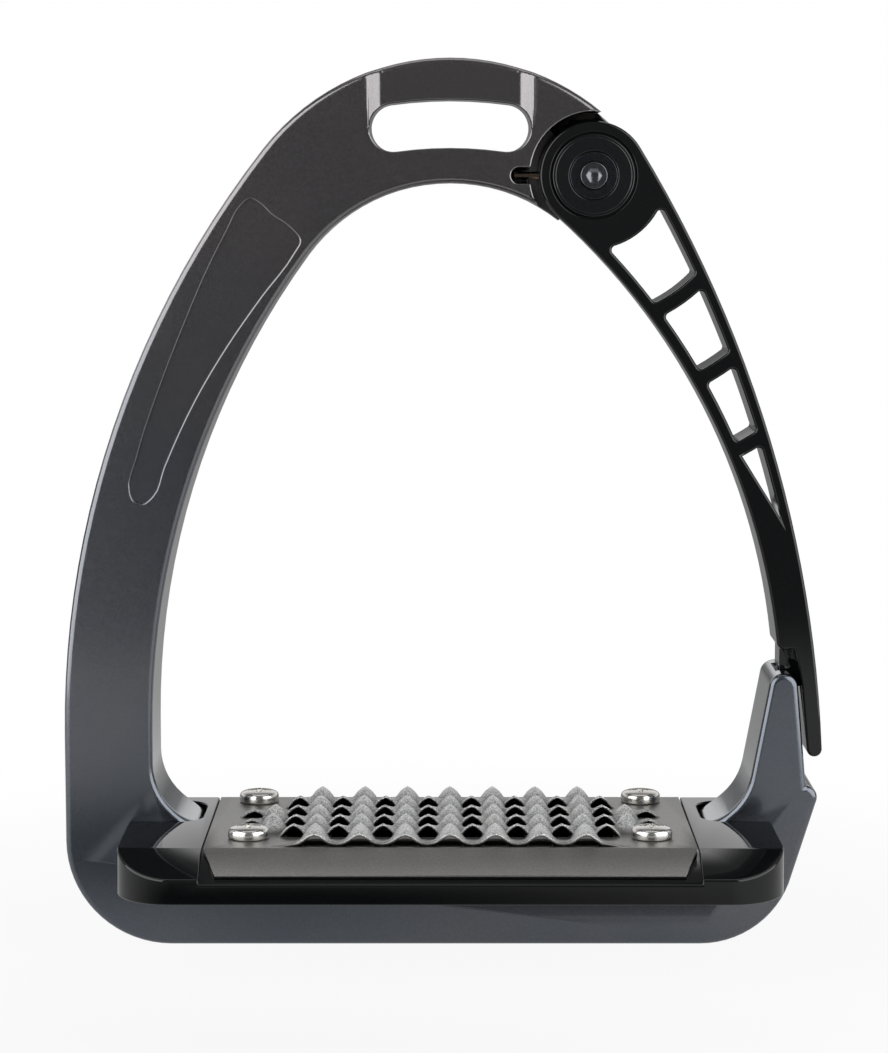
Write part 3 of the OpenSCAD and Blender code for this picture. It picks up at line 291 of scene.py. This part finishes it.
# Black acetal turned on a lathe: satin, with faint rings round the hinge
def make_turned_acetal():
    material, tree, place = new_material("turned_black_acetal")
    centred = add(tree, "ShaderNodeVectorMath", {0: place, 1: (HINGE_X * MM, 0.0, HINGE_Z * MM)},
                  operation="SUBTRACT")
    flat = add(tree, "ShaderNodeVectorMath", {0: centred.outputs["Vector"], 1: (1.0, 0.0, 1.0)},
               operation="MULTIPLY")
    radius = add(tree, "ShaderNodeVectorMath", {0: flat.outputs["Vector"]}, operation="LENGTH")
    # Tool rings are about 0.05 mm apart, and are drawn at 0.35 mm to show
    turns = add(tree, "ShaderNodeMath", {0: radius.outputs["Value"], 1: 2 * math.pi * per_metre(0.35)},
                operation="MULTIPLY")
    rings = add(tree, "ShaderNodeMath", {0: turns.outputs["Value"]}, operation="SINE")
    dust = add(tree, "ShaderNodeTexNoise", {"Vector": place, "Scale": per_metre(0.7), "Detail": 4.0})
    tone = add(tree, "ShaderNodeMix", {
        FACTOR: dust.outputs["Fac"], COLOUR_A: linear("#08090a"), COLOUR_B: linear("#121315")},
        data_type="RGBA")
    satin = add(tree, "ShaderNodeMapRange", {
        "Value": dust.outputs["Fac"], **NOISE_SPAN, "To Min": 0.1, "To Max": 0.16})
    groove = add(tree, "ShaderNodeBump", {
        "Height": rings.outputs["Value"], "Strength": 0.15, "Distance": 0.01 * MM})
    shader = add(tree, "ShaderNodeBsdfPrincipled", {
        "Base Color": tone.outputs[COLOUR_OUT], "Roughness": satin.outputs["Result"], "IOR": 1.48,
        "Normal": groove.outputs["Normal"]})
    close_material(tree, shader.outputs["BSDF"])
    return material


# Natural nylon washers: milky, slightly translucent-looking and softly mottled
def make_natural_nylon():
    material, tree, place = new_material("natural_nylon")
    cloud = add(tree, "ShaderNodeTexNoise", {"Vector": place, "Scale": per_metre(2.5), "Detail": 3.0})
    tone = add(tree, "ShaderNodeMix", {
        FACTOR: cloud.outputs["Fac"], COLOUR_A: linear("#d2cec2"), COLOUR_B: linear("#e2dfd6")},
        data_type="RGBA")
    satin = add(tree, "ShaderNodeMapRange", {
        "Value": cloud.outputs["Fac"], "To Min": 0.38, "To Max": 0.52})
    shader = add(tree, "ShaderNodeBsdfPrincipled", {
        "Base Color": tone.outputs[COLOUR_OUT], "Roughness": satin.outputs["Result"], "IOR": 1.53})
    close_material(tree, shader.outputs["BSDF"])
    return material


gunmetal_coat = make_gunmetal_coat()
gloss_nylon = make_gloss_nylon()
tread_steel = make_tread_steel()
turned_acetal = make_turned_acetal()
natural_nylon = make_natural_nylon()
# Bright stainless screws: polished by tumbling, so nearly mirror-like
bright_stainless = make_metal("tumbled_stainless_screw", "#c2c0bc", "#d2d0cc",
                              dull=0.24, bright=0.15, mark_mm=0.9)
# Black-oxide steel: dark, slightly blue and oily
black_oxide = make_metal("black_oxide_steel", "#3a3c40", "#4a4d52", dull=0.24, bright=0.16, mark_mm=0.6)
# Dark nickel plate on the hinge screw: deep grey with clear glints
dark_nickel = make_metal("dark_nickel_plated_steel", "#606266", "#75777c",
                         dull=0.22, bright=0.12, mark_mm=0.6)
# Zinc-plated steel: cool grey with a fine drawn grain
zinc_steel = make_metal("zinc_plated_steel", "#8d9197", "#a3a7ac", dull=0.36, bright=0.26, mark_mm=0.5)
# Oil-tempered spring wire: straw-brown heat colour over drawn steel
spring_wire = make_metal("oil_tempered_spring_wire", "#7d6a5c", "#9a8c80",
                         dull=0.34, bright=0.22, mark_mm=0.5)
# Sintered bronze bush and brass inserts
sintered_bronze = make_metal("sintered_bronze", "#9a7140", "#b58a55", dull=0.45, bright=0.36, mark_mm=0.3)
turned_brass = make_metal("turned_brass", "#b08d4c", "#c8a765", dull=0.3, bright=0.2, mark_mm=0.5)


def copy_of(node):
    """A merged copy of a node's mesh."""
    bm = bmesh.new()
    bm.from_mesh(frame["nodes"][node].data)
    bmesh.ops.remove_doubles(bm, verts=bm.verts, dist=MERGE_MM * MM)
    return bm


def as_object(bm, name):
    """Puts a bmesh into the scene as an object."""
    mesh = bpy.data.meshes.new(name)
    bm.to_mesh(mesh)
    bm.free()
    item = bpy.data.objects.new(name, mesh)
    bpy.context.scene.collection.objects.link(item)
    return item


def with_modifiers(blank):
    """What an object's modifiers make of its mesh, as a new bmesh."""
    ready = blank.evaluated_get(bpy.context.evaluated_depsgraph_get())
    made = bmesh.new()
    made.from_mesh(ready.to_mesh())
    ready.to_mesh_clear()
    return made


def discard(blank):
    """Takes a helper object out of the scene again."""
    mesh = blank.data
    bpy.data.objects.remove(blank)
    bpy.data.meshes.remove(mesh)


def soften(bm, width_mm, segments):
    """Rounds the marked edges by their weights, and joins the flat faces again."""
    blank = as_object(bm, "softened")
    bevel = blank.modifiers.new("rounded_edges", "BEVEL")
    bevel.width = width_mm * MM
    bevel.segments = segments
    bevel.profile = 0.5
    bevel.use_clamp_overlap = False
    bevel.loop_slide = False
    bevel.limit_method = "WEIGHT"
    soft = with_modifiers(blank)
    discard(blank)
    bmesh.ops.remove_doubles(soft, verts=soft.verts, dist=ROUNDED_MERGE_MM * MM)
    bmesh.ops.dissolve_limit(soft, angle_limit=math.radians(0.05), use_dissolve_boundaries=False,
                             verts=soft.verts, edges=soft.edges)
    return soft


def finish_piece(bm, name, body, node, material, smooth_levels=0, twist=None):
    """Makes a bmesh a piece that stands for a node. With a twist the piece is left in place without a
    body; the twist's depths are not used.
    """
    for face in bm.faces:
        face.smooth = True
        face.material_index = 0
    piece = as_object(bm, name)
    piece.data.materials.clear()
    piece.data.materials.append(material)
    if smooth_levels:
        smooth = piece.modifiers.new("pressed_curves", "SUBSURF")
        smooth.levels = smooth_levels
        smooth.render_levels = smooth_levels
    flat = piece.modifiers.new("flat_faces", "WEIGHTED_NORMAL")
    flat.weight = 70
    flat.keep_sharp = False
    if twist:
        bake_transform(piece)
    else:
        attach(piece, body)
    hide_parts(node)


def corners(bm):
    """The edges at which two faces stand out at a clear angle."""
    least = math.radians(CORNER_DEGREES)
    return [e for e in bm.edges if e.is_manifold and e.is_convex and e.calc_face_angle(0) > least]


def mark(bm, share_of):
    """Gives each clear outer edge its share of the full rounding."""
    weight = bm.edges.layers.float.new("bevel_weight_edge")
    for edge in corners(bm):
        edge[weight] = share_of(edge)


def full_share(edge):
    """The share on a piece whose edges are all rounded alike."""
    return 1.0


def ends(edge):
    """An edge's two ends in millimetres."""
    return [v.co / MM for v in edge.verts]


def from_hinge(edge):
    """Distance of an edge's far end from the hinge's axis."""
    return max(math.hypot(end.x - HINGE_X, end.z - HINGE_Z) for end in ends(edge))


def frame_edge_share(edge):
    """How far one edge of the casting is rounded, as a share of its outer edges."""
    a, b = ends(edge)
    low, high = min(a.z, b.z), max(a.z, b.z)
    off_middle = max(abs(a.x - MIDDLE_X), abs(b.x - MIDDLE_X))
    off_axis_z = max(abs(a.z - HINGE_Z), abs(b.z - HINGE_Z))
    on_face = min(abs(a.y), abs(b.y)) > BACK_Y - TOUCH_MM
    in_bar = off_middle < BAR_HALF and low > BAR_FOOT_Z
    level = high - low < LEVEL_MM and min(abs(a.z - BAR_TOP_Z), abs(a.z - RECESS_Z)) < LEVEL_MM
    in_face = all(abs(f.normal.y) > TURNED for f in edge.link_faces)
    if level or in_face:
        return 0.0
    if on_face or in_bar:
        side = math.copysign(1 / MM, a.y)
        panel_y = BACK_Y - PANEL_MOST_DEPTH
        of_panel = all(v.co.y * side > panel_y for f in edge.link_faces for v in f.verts)
        if of_panel and not in_bar:
            return TRIM_SHARE
        if in_bar and high < SLOT_TOP_Z:
            return TRIM_SHARE
        if from_hinge(edge) < BORE_R:
            return BORE_SHARE
        of_notch = off_axis_z < NOTCH_HALF and NOTCH_START_X < a.x < NOTCH_END_X
        if (from_hinge(edge) < POCKET_R or of_notch) and a.y < 0:
            return TRIM_SHARE
        return 1.0
    if BAR_TOP_Z < low and high < FILLET_TOP_Z and abs(a.y - b.y) < ACROSS_MM:
        return 1.0
    return INNER_SHARE


def cut_along(bm, faces, point, normal):
    """Cuts some faces along a plane."""
    geom = faces + list({e for f in faces for e in f.edges}) + list({v for f in faces for v in f.verts})
    bmesh.ops.bisect_plane(bm, geom=geom, dist=CUT_MM * MM, plane_co=Vector(point) * MM, plane_no=normal)


def bar_faces(bm, pick, height):
    """Faces to the front or back whose highest or lowest corner, as picked, lies above a height."""
    return [f for f in bm.faces
            if abs(f.normal.y) > LEANING and pick(v.co.z for v in f.verts) > height * MM]


def curve_shoulders(bm):
    """Bends the flat slopes beside the recess into a wider S with a round crest and a round foot."""
    cut_along(bm, bar_faces(bm, max, RECESS_Z), (0, 0, RECESS_Z), (0, 0, 1))
    for side in (-1, 1):
        for step in range(SHOULDER_STEPS + 1):
            x = MIDDLE_X + side * (RECESS_HALF + SHOULDER_RUN * step / SHOULDER_STEPS)
            cut_along(bm, bar_faces(bm, min, RECESS_Z - TOUCH_MM), (x, 0, 0), (1, 0, 0))
    for vert in bm.verts:
        off_middle = abs(vert.co.x / MM - MIDDLE_X)
        height = vert.co.z / MM - RECESS_Z
        depth = BACK_Y - abs(vert.co.y) / MM
        flat = min(1, max(0, (RECESS_HALF + RECESS_RUN - off_middle) / RECESS_RUN))
        t = min(1, max(0, (RECESS_HALF + SHOULDER_RUN - off_middle) / SHOULDER_RUN))
        if 0 < t < 1 and height > -TOUCH_MM and depth < RECESS_DEPTH * flat + SHOULDER_REACH:
            past_slope = off_middle > RECESS_HALF + RECESS_RUN
            fade = min(1, height / SHOULDER_FADE) if past_slope else 1
            curved = t ** 3 * (6 * t * t - 15 * t + 10)
            bend = RECESS_DEPTH * (curved - flat) * fade
            vert.co.y -= math.copysign(bend * MM, vert.co.y)


def build_frame():
    """The casting, with rounded edges and curved shoulders."""
    bm = copy_of("frame")
    # The slot's ends run into the recess without a step
    for vert in bm.verts:
        depth = BACK_Y - abs(vert.co.y) / MM
        if abs(vert.co.z / MM - RECESS_Z) < LEVEL_MM and SLOT_STEP_LEAST < depth < SLOT_STEP_MOST:
            vert.co.y = math.copysign(BACK_Y * MM, vert.co.y)
    bmesh.ops.remove_doubles(bm, verts=bm.verts, dist=MERGE_MM * MM)
    mark(bm, frame_edge_share)
    soft = soften(bm, FRAME_EDGE_MM, FRAME_EDGE_STEPS)
    curve_shoulders(soft)
    finish_piece(soft, "cast_frame", "iron", "frame", gunmetal_coat)


def arm_edge_share(edge):
    """Edges on the arm's front and back face are rounded fully, and its other edges less."""
    a, b = ends(edge)
    on_face = max(a.y, b.y) < ARM_FRONT_Y + TOUCH_MM or min(a.y, b.y) > ARM_BACK_Y - TOUCH_MM
    return 1.0 if on_face and from_hinge(edge) > ARM_BORE_R else ARM_INNER_SHARE


def build_release_arm():
    """The moulded arm."""
    bm = copy_of("release_arm")
    mark(bm, arm_edge_share)
    soft = soften(bm, ARM_EDGE_MM, ARM_EDGE_STEPS)
    finish_piece(soft, "release_arm_moulding", "arm", "release_arm", gloss_nylon)


def build_tread_plate():
    """The pressed sheet: its louvers are smoothed, and its flats and cut edges stay crisp."""
    bm = copy_of("tread_plate")
    bmesh.ops.join_triangles(bm, faces=bm.faces, angle_face_threshold=math.radians(35),
                             angle_shape_threshold=math.radians(60))
    bm.normal_update()
    # The louvers' crests are round, the sheet is thinner there, and those open to the front are lower
    for vert in bm.verts:
        below = vert.normal.z < 0
        share = (vert.co.z / MM + (SHEET_MM if below else 0) - PLATE_TOP_Z) / LOUVER_RISE
        if share < FLAT_SHARE:
            continue
        share = min(1, share)
        column = (vert.co.x / MM - MIDDLE_X) / LOUVER_PITCH
        tall = 1.0
        half_a_pitch_aside = abs(column - round(column)) > 0.25
        if half_a_pitch_aside:
            tall = FRONT_LOUVER if abs(column) < OUTER_COLUMN else END_LOUVER
        rise = tall * LOUVER_RISE * (share + CREST_SWELL * share ** 2 * (1 - share))
        sheet = SHEET_MM * (1 - CREST_THINNING * share) if below else 0
        vert.co.z = (PLATE_TOP_Z + rise - sheet) * MM
    crease = bm.edges.layers.float.new("crease_edge")
    for edge in bm.edges:
        flat = any(abs(f.normal.z) > FLAT_NORMAL for f in edge.link_faces)
        if flat or edge.calc_face_angle(0) > math.radians(CUT_DEGREES):
            edge[crease] = 1.0
    finish_piece(bm, "louvered_tread_plate", "iron", "tread_plate", tread_steel, smooth_levels=1)


def build_plain(node, name, body, material, edge_mm, twist=None):
    """A moulded or turned piece whose edges are all broken alike."""
    bm = copy_of(node)
    mark(bm, full_share)
    finish_piece(soften(bm, edge_mm, SMALL_EDGE_STEPS), name, body, node, material, twist=twist)


def carve(bm, tool):
    """Cuts one bmesh out of another."""
    blank = as_object(bm, "blank")
    cutter = as_object(tool, "cutter")
    cut = blank.modifiers.new("cut", "BOOLEAN")
    cut.object = cutter
    cut.solver = "EXACT"
    left = with_modifiers(blank)
    discard(blank)
    discard(cutter)
    return left


def turned_screw():
    """A pan-head screw on the upright axis: a domed head over a plain shank."""
    dome_z = HEAD_TOP_Z - HEAD_DOME_R
    shank = [(0, SHANK_END_Z), (SHANK_R, SHANK_END_Z), (SHANK_R, PLATE_TOP_Z)]
    rim = [(r, PLATE_TOP_Z + height) for r, height in HEAD_RIM]
    dome = [(r, dome_z + math.sqrt(HEAD_DOME_R ** 2 - r * r)) for r in HEAD_RINGS]
    bm = bmesh.new()
    line = [bm.verts.new((r * MM, 0, z * MM)) for r, z in shank + rim + dome]
    edges = [bm.edges.new(pair) for pair in zip(line, line[1:])]
    bmesh.ops.spin(bm, geom=line + edges, cent=(0, 0, 0), axis=(0, 0, 1), dvec=(0, 0, 0),
                   angle=2 * math.pi, steps=HEAD_STEPS, use_merge=True)
    bmesh.ops.remove_doubles(bm, verts=bm.verts, dist=CUT_MM * MM)
    bmesh.ops.recalc_face_normals(bm, faces=bm.faces)
    return bm


def build_tread_screws():
    """Four screws with a cross recess in their heads."""
    bm = turned_screw()
    for size in ((CROSS_L, CROSS_W, CROSS_H), (CROSS_W, CROSS_L, CROSS_H)):
        slit = bmesh.new()
        bmesh.ops.create_cube(slit, size=MM)
        bmesh.ops.scale(slit, vec=size, verts=slit.verts)
        bmesh.ops.translate(slit, vec=(0, 0, (CROSS_FLOOR_Z + CROSS_H / 2) * MM), verts=slit.verts)
        bm = carve(bm, slit)
    first = bm.verts[:] + bm.edges[:] + bm.faces[:]
    for x, y in SCREW_PLACES:
        screw = bmesh.ops.duplicate(bm, geom=first)["geom"]
        moved = [v for v in screw if isinstance(v, bmesh.types.BMVert)]
        bmesh.ops.translate(bm, vec=(x * MM, y * MM, 0), verts=moved)
    bmesh.ops.delete(bm, geom=[v for v in first if isinstance(v, bmesh.types.BMVert)], context="VERTS")
    finish_piece(bm, "tread_pan_screws", "iron", "tread_screws", bright_stainless)


build_frame()
build_release_arm()
build_plain("tread_base", "tread_tray", "iron", gloss_nylon, edge_mm=TRAY_EDGE_MM)
build_tread_plate()
build_tread_screws()
build_plain("hub_cap", "hinge_cap", "iron", turned_acetal, edge_mm=0.28)
build_plain("screw_washer", "hinge_ring", "iron", black_oxide, edge_mm=0.15)
build_plain("pivot_screw", "hinge_screw", "iron", dark_nickel, edge_mm=0.15)
# The spring's front leg turns with the arm and its rear leg stays in the iron; its piece is left in place
# without a body
fixed_leg_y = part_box("torsion_spring")[1][1] / MM - WIRE_MM
build_plain("torsion_spring", "closing_spring", "iron", spring_wire, edge_mm=0.1,
            twist=(fixed_leg_y - COIL_MM, fixed_leg_y))

# Inner pieces whose solids already have the right shape
for node, material in (("arm_bush", sintered_bronze), ("pivot_barrel", zinc_steel),
                       ("front_washer", natural_nylon), ("rear_washer", natural_nylon),
                       ("tread_inserts", turned_brass), ("base_screws", black_oxide),
                       ("base_inserts", turned_brass)):
    frame["nodes"][node].material_slots[0].material = material

# The floor, in millimetres: a patch of painted shade lies before the object, and the floor's front end is
# painted dark too, both for the front faces to mirror.
# The patch is drawn out along X, so distances from its middle are squeezed there.
FLOOR_HALF, FLOOR_DROP = 4000, 0.03
SHADE_PATCH_X, SHADE_PATCH_Y, SHADE_PATCH_SQUEEZE, SHADE_PATCH_DARK, SHADE_PATCH_PALE = -40, -105, 0.6, 12, 95
FRONT_DARK_Y, FRONT_PALE_Y = -480, -270
BEHIND_NEAR_Y, BEHIND_FAR_Y = 60, 300
SHADOW_NEAR, SHADOW_FAR = 80, 200
# The room's light: its level at the dark end, and what the pale end adds
ROOM_DARK, ROOM_PALE = 0.175, 0.5


# White paper that shows the object's soft shadow, and is white where the camera sees it.
# The painted shade before the object and the painted dark front end keep the front faces from washing
# out.
def make_paper():
    material, tree, place = new_material("white_paper")
    fibre = add(tree, "ShaderNodeTexNoise", {"Vector": place, "Scale": per_metre(4), "Detail": 3.0})
    tone = add(tree, "ShaderNodeMix", {
        FACTOR: fibre.outputs["Fac"], COLOUR_A: linear("#a2a2a2"), COLOUR_B: linear("#a8a8a8")},
        data_type="RGBA")
    shifted = add(tree, "ShaderNodeVectorMath", {0: place, 1: (SHADE_PATCH_X * MM, SHADE_PATCH_Y * MM, 0)},
                  operation="SUBTRACT")
    squeezed = add(tree, "ShaderNodeVectorMath", {0: shifted.outputs["Vector"], 1: (SHADE_PATCH_SQUEEZE, 1, 1)},
                   operation="MULTIPLY")
    off_shade_patch = add(tree, "ShaderNodeVectorMath", {0: squeezed.outputs["Vector"]}, operation="LENGTH")
    # Painted shade: a dark patch on the paper before the object, which the front faces mirror as shade
    painted_shade_patch = add(tree, "ShaderNodeMapRange", {
        "Value": off_shade_patch.outputs["Value"], "From Min": SHADE_PATCH_DARK * MM, "From Max": SHADE_PATCH_PALE * MM},
        interpolation_type="SMOOTHSTEP")
    depth = add(tree, "ShaderNodeSeparateXYZ", {"Vector": place}).outputs["Y"]
    # Painted shade: the paper's front end is painted dark, for the front faces to mirror
    front = add(tree, "ShaderNodeMapRange", {
        "Value": depth, "From Min": FRONT_DARK_Y * MM, "From Max": FRONT_PALE_Y * MM, "To Min": 0.2},
        interpolation_type="SMOOTHSTEP")
    pale = add(tree, "ShaderNodeMath", {0: painted_shade_patch.outputs["Result"], 1: front.outputs["Result"]},
               operation="MULTIPLY")
    # The paper's colour, painted dark in the patch of painted shade and at the front end
    paper_with_painted_shade = add(tree, "ShaderNodeMix", {
        FACTOR: pale.outputs["Value"], COLOUR_A: linear("#303030"), COLOUR_B: tone.outputs[COLOUR_OUT]},
        data_type="RGBA")
    paper = add(tree, "ShaderNodeBsdfDiffuse", {"Color": paper_with_painted_shade.outputs[COLOUR_OUT]})
    white = add(tree, "ShaderNodeEmission", {"Color": linear("#ffffff"), "Strength": 1.0})
    # The camera sees white paper, and metal and gloss mirror some of it beside and behind the object
    ray = add(tree, "ShaderNodeLightPath")
    shiny = add(tree, "ShaderNodeMath", {
        0: ray.outputs["Is Glossy Ray"], 1: ray.outputs["Is Transmission Ray"]},
        operation="ADD", use_clamp=True)
    mirrored = add(tree, "ShaderNodeMath", {0: shiny.outputs["Value"], 1: pale.outputs["Value"]},
                   operation="MULTIPLY")
    # Far behind the object the white that metal and gloss mirror is painted dimmer, a painted reflection
    # that fades with distance
    behind = add(tree, "ShaderNodeMapRange", {
        "Value": depth, "From Min": BEHIND_NEAR_Y * MM, "From Max": BEHIND_FAR_Y * MM,
        "To Min": 0.5, "To Max": 0.12}, interpolation_type="SMOOTHSTEP")
    rays = add(tree, "ShaderNodeMath", {
        0: mirrored.outputs["Value"], 1: behind.outputs["Result"], 2: ray.outputs["Is Camera Ray"]},
        operation="MULTIPLY_ADD", use_clamp=True)
    # Near the object a little of the lit paper shows through the white, and with it the shadow
    far = add(tree, "ShaderNodeVectorMath", {0: place}, operation="LENGTH")
    open_floor = add(tree, "ShaderNodeMapRange", {
        "Value": far.outputs["Value"], "From Min": SHADOW_NEAR * MM, "From Max": SHADOW_FAR * MM,
        "To Min": 0.93, "To Max": 1.0}, interpolation_type="SMOOTHSTEP")
    seen = add(tree, "ShaderNodeMath", {0: rays.outputs["Value"], 1: open_floor.outputs["Result"]},
               operation="MULTIPLY")
    both = add(tree, "ShaderNodeMixShader", {
        0: seen.outputs["Value"], 1: paper.outputs["BSDF"], 2: white.outputs["Emission"]})
    close_material(tree, both.outputs["Shader"])
    return material


def build_floor():
    """A wide sheet of paper just below the object."""
    bm = bmesh.new()
    bmesh.ops.create_grid(bm, x_segments=1, y_segments=1, size=FLOOR_HALF * MM)
    bmesh.ops.translate(bm, verts=bm.verts, vec=(0, 0, -FLOOR_DROP * MM))
    floor = as_object(bm, "paper_floor")
    floor.data.materials.append(make_paper())


# A room with a pale end behind the object and a dark end behind the camera, as the gloss shows it
def build_room():
    world = bpy.data.worlds.new("studio_room")
    bpy.context.scene.world = world
    world.use_nodes = True
    tree = world.node_tree
    tree.nodes.clear()
    way = add(tree, "ShaderNodeTexCoord").outputs["Generated"]
    parts = add(tree, "ShaderNodeSeparateXYZ", {"Vector": way})
    rear = add(tree, "ShaderNodeMapRange", {
        "Value": parts.outputs["Y"], "From Min": -0.4, "From Max": 0.7}, interpolation_type="SMOOTHSTEP")
    # The pale wall starts a little above the floor's far edge, and is dim high up
    above = add(tree, "ShaderNodeMapRange", {
        "Value": parts.outputs["Z"], "From Min": 0.1, "From Max": 0.2}, interpolation_type="SMOOTHSTEP")
    below = add(tree, "ShaderNodeMapRange", {
        "Value": parts.outputs["Z"], "From Min": 0.35, "From Max": 0.75, "To Min": 1.0, "To Max": 0.0},
        interpolation_type="SMOOTHSTEP")
    wall = add(tree, "ShaderNodeMath", {0: above.outputs["Result"], 1: below.outputs["Result"]},
               operation="MULTIPLY")
    pale = add(tree, "ShaderNodeMath", {0: rear.outputs["Result"], 1: wall.outputs["Value"]},
               operation="MULTIPLY")
    level = add(tree, "ShaderNodeMath", {0: pale.outputs["Value"], 1: ROOM_PALE, 2: ROOM_DARK},
                operation="MULTIPLY_ADD")
    room = add(tree, "ShaderNodeBackground", {
        "Color": linear("#ffffff"), "Strength": level.outputs["Value"]})
    white = add(tree, "ShaderNodeBackground", {"Color": linear("#ffffff"), "Strength": 1.0})
    # The camera sees white all round, and metal and gloss mirror that white at the pale end
    ray = add(tree, "ShaderNodeLightPath")
    shiny = add(tree, "ShaderNodeMath", {
        0: ray.outputs["Is Glossy Ray"], 1: ray.outputs["Is Transmission Ray"]},
        operation="ADD", use_clamp=True)
    seen = add(tree, "ShaderNodeMath", {
        0: shiny.outputs["Value"], 1: pale.outputs["Value"], 2: ray.outputs["Is Camera Ray"]},
        operation="MULTIPLY_ADD", use_clamp=True)
    both = add(tree, "ShaderNodeMixShader", {
        0: seen.outputs["Value"], 1: room.outputs["Background"], 2: white.outputs["Background"]})
    add(tree, "ShaderNodeOutputWorld", {"Surface": both.outputs["Shader"]})


def soft_box(name, place_mm, target_mm, width_mm, height_mm, watts):
    """A soft rectangular lamp that faces a point."""
    lamp = bpy.data.lights.new(name, "AREA")
    lamp.shape = "RECTANGLE"
    lamp.size = width_mm * MM
    lamp.size_y = height_mm * MM
    lamp.energy = watts
    box = bpy.data.objects.new(name, lamp)
    box.location = Vector(place_mm) * MM
    aim = (Vector(target_mm) - Vector(place_mm)) * MM
    box.rotation_euler = aim.to_track_quat("-Z", "Y").to_euler()
    bpy.context.scene.collection.objects.link(box)


build_floor()
build_room()
# A soft box on each side, a little before the object, and a wider one above it
for name, side, watts in (("left_box", -1, 2.6), ("right_box", 1, 2.4)):
    soft_box(name, place_mm=(side * 354, -201, 285), target_mm=(side * 44, 54, 285),
             width_mm=540, height_mm=560, watts=watts)
soft_box("top_box", place_mm=(0, 100, 1000), target_mm=(0, 0, 60), width_mm=800, height_mm=600, watts=1.6)

# The photograph's camera: level with the hinge, tipped down a little
CAMERA_PLACE, CAMERA_TILT_DEGREES = (0, -610, 152.1), 83.5
LENS_MM, SENSOR_MM = 105.43, 36.0
eye = bpy.data.cameras.new("photo_camera")
eye.lens = LENS_MM
eye.sensor_width = SENSOR_MM
camera = bpy.data.objects.new("photo_camera", eye)
camera.location = Vector(CAMERA_PLACE) * MM
camera.rotation_euler = (math.radians(CAMERA_TILT_DEGREES), 0, 0)
bpy.context.scene.collection.objects.link(camera)
bpy.context.scene.camera = camera
bpy.context.scene.view_settings.view_transform = "Standard"

bpy.context.view_layer.update()
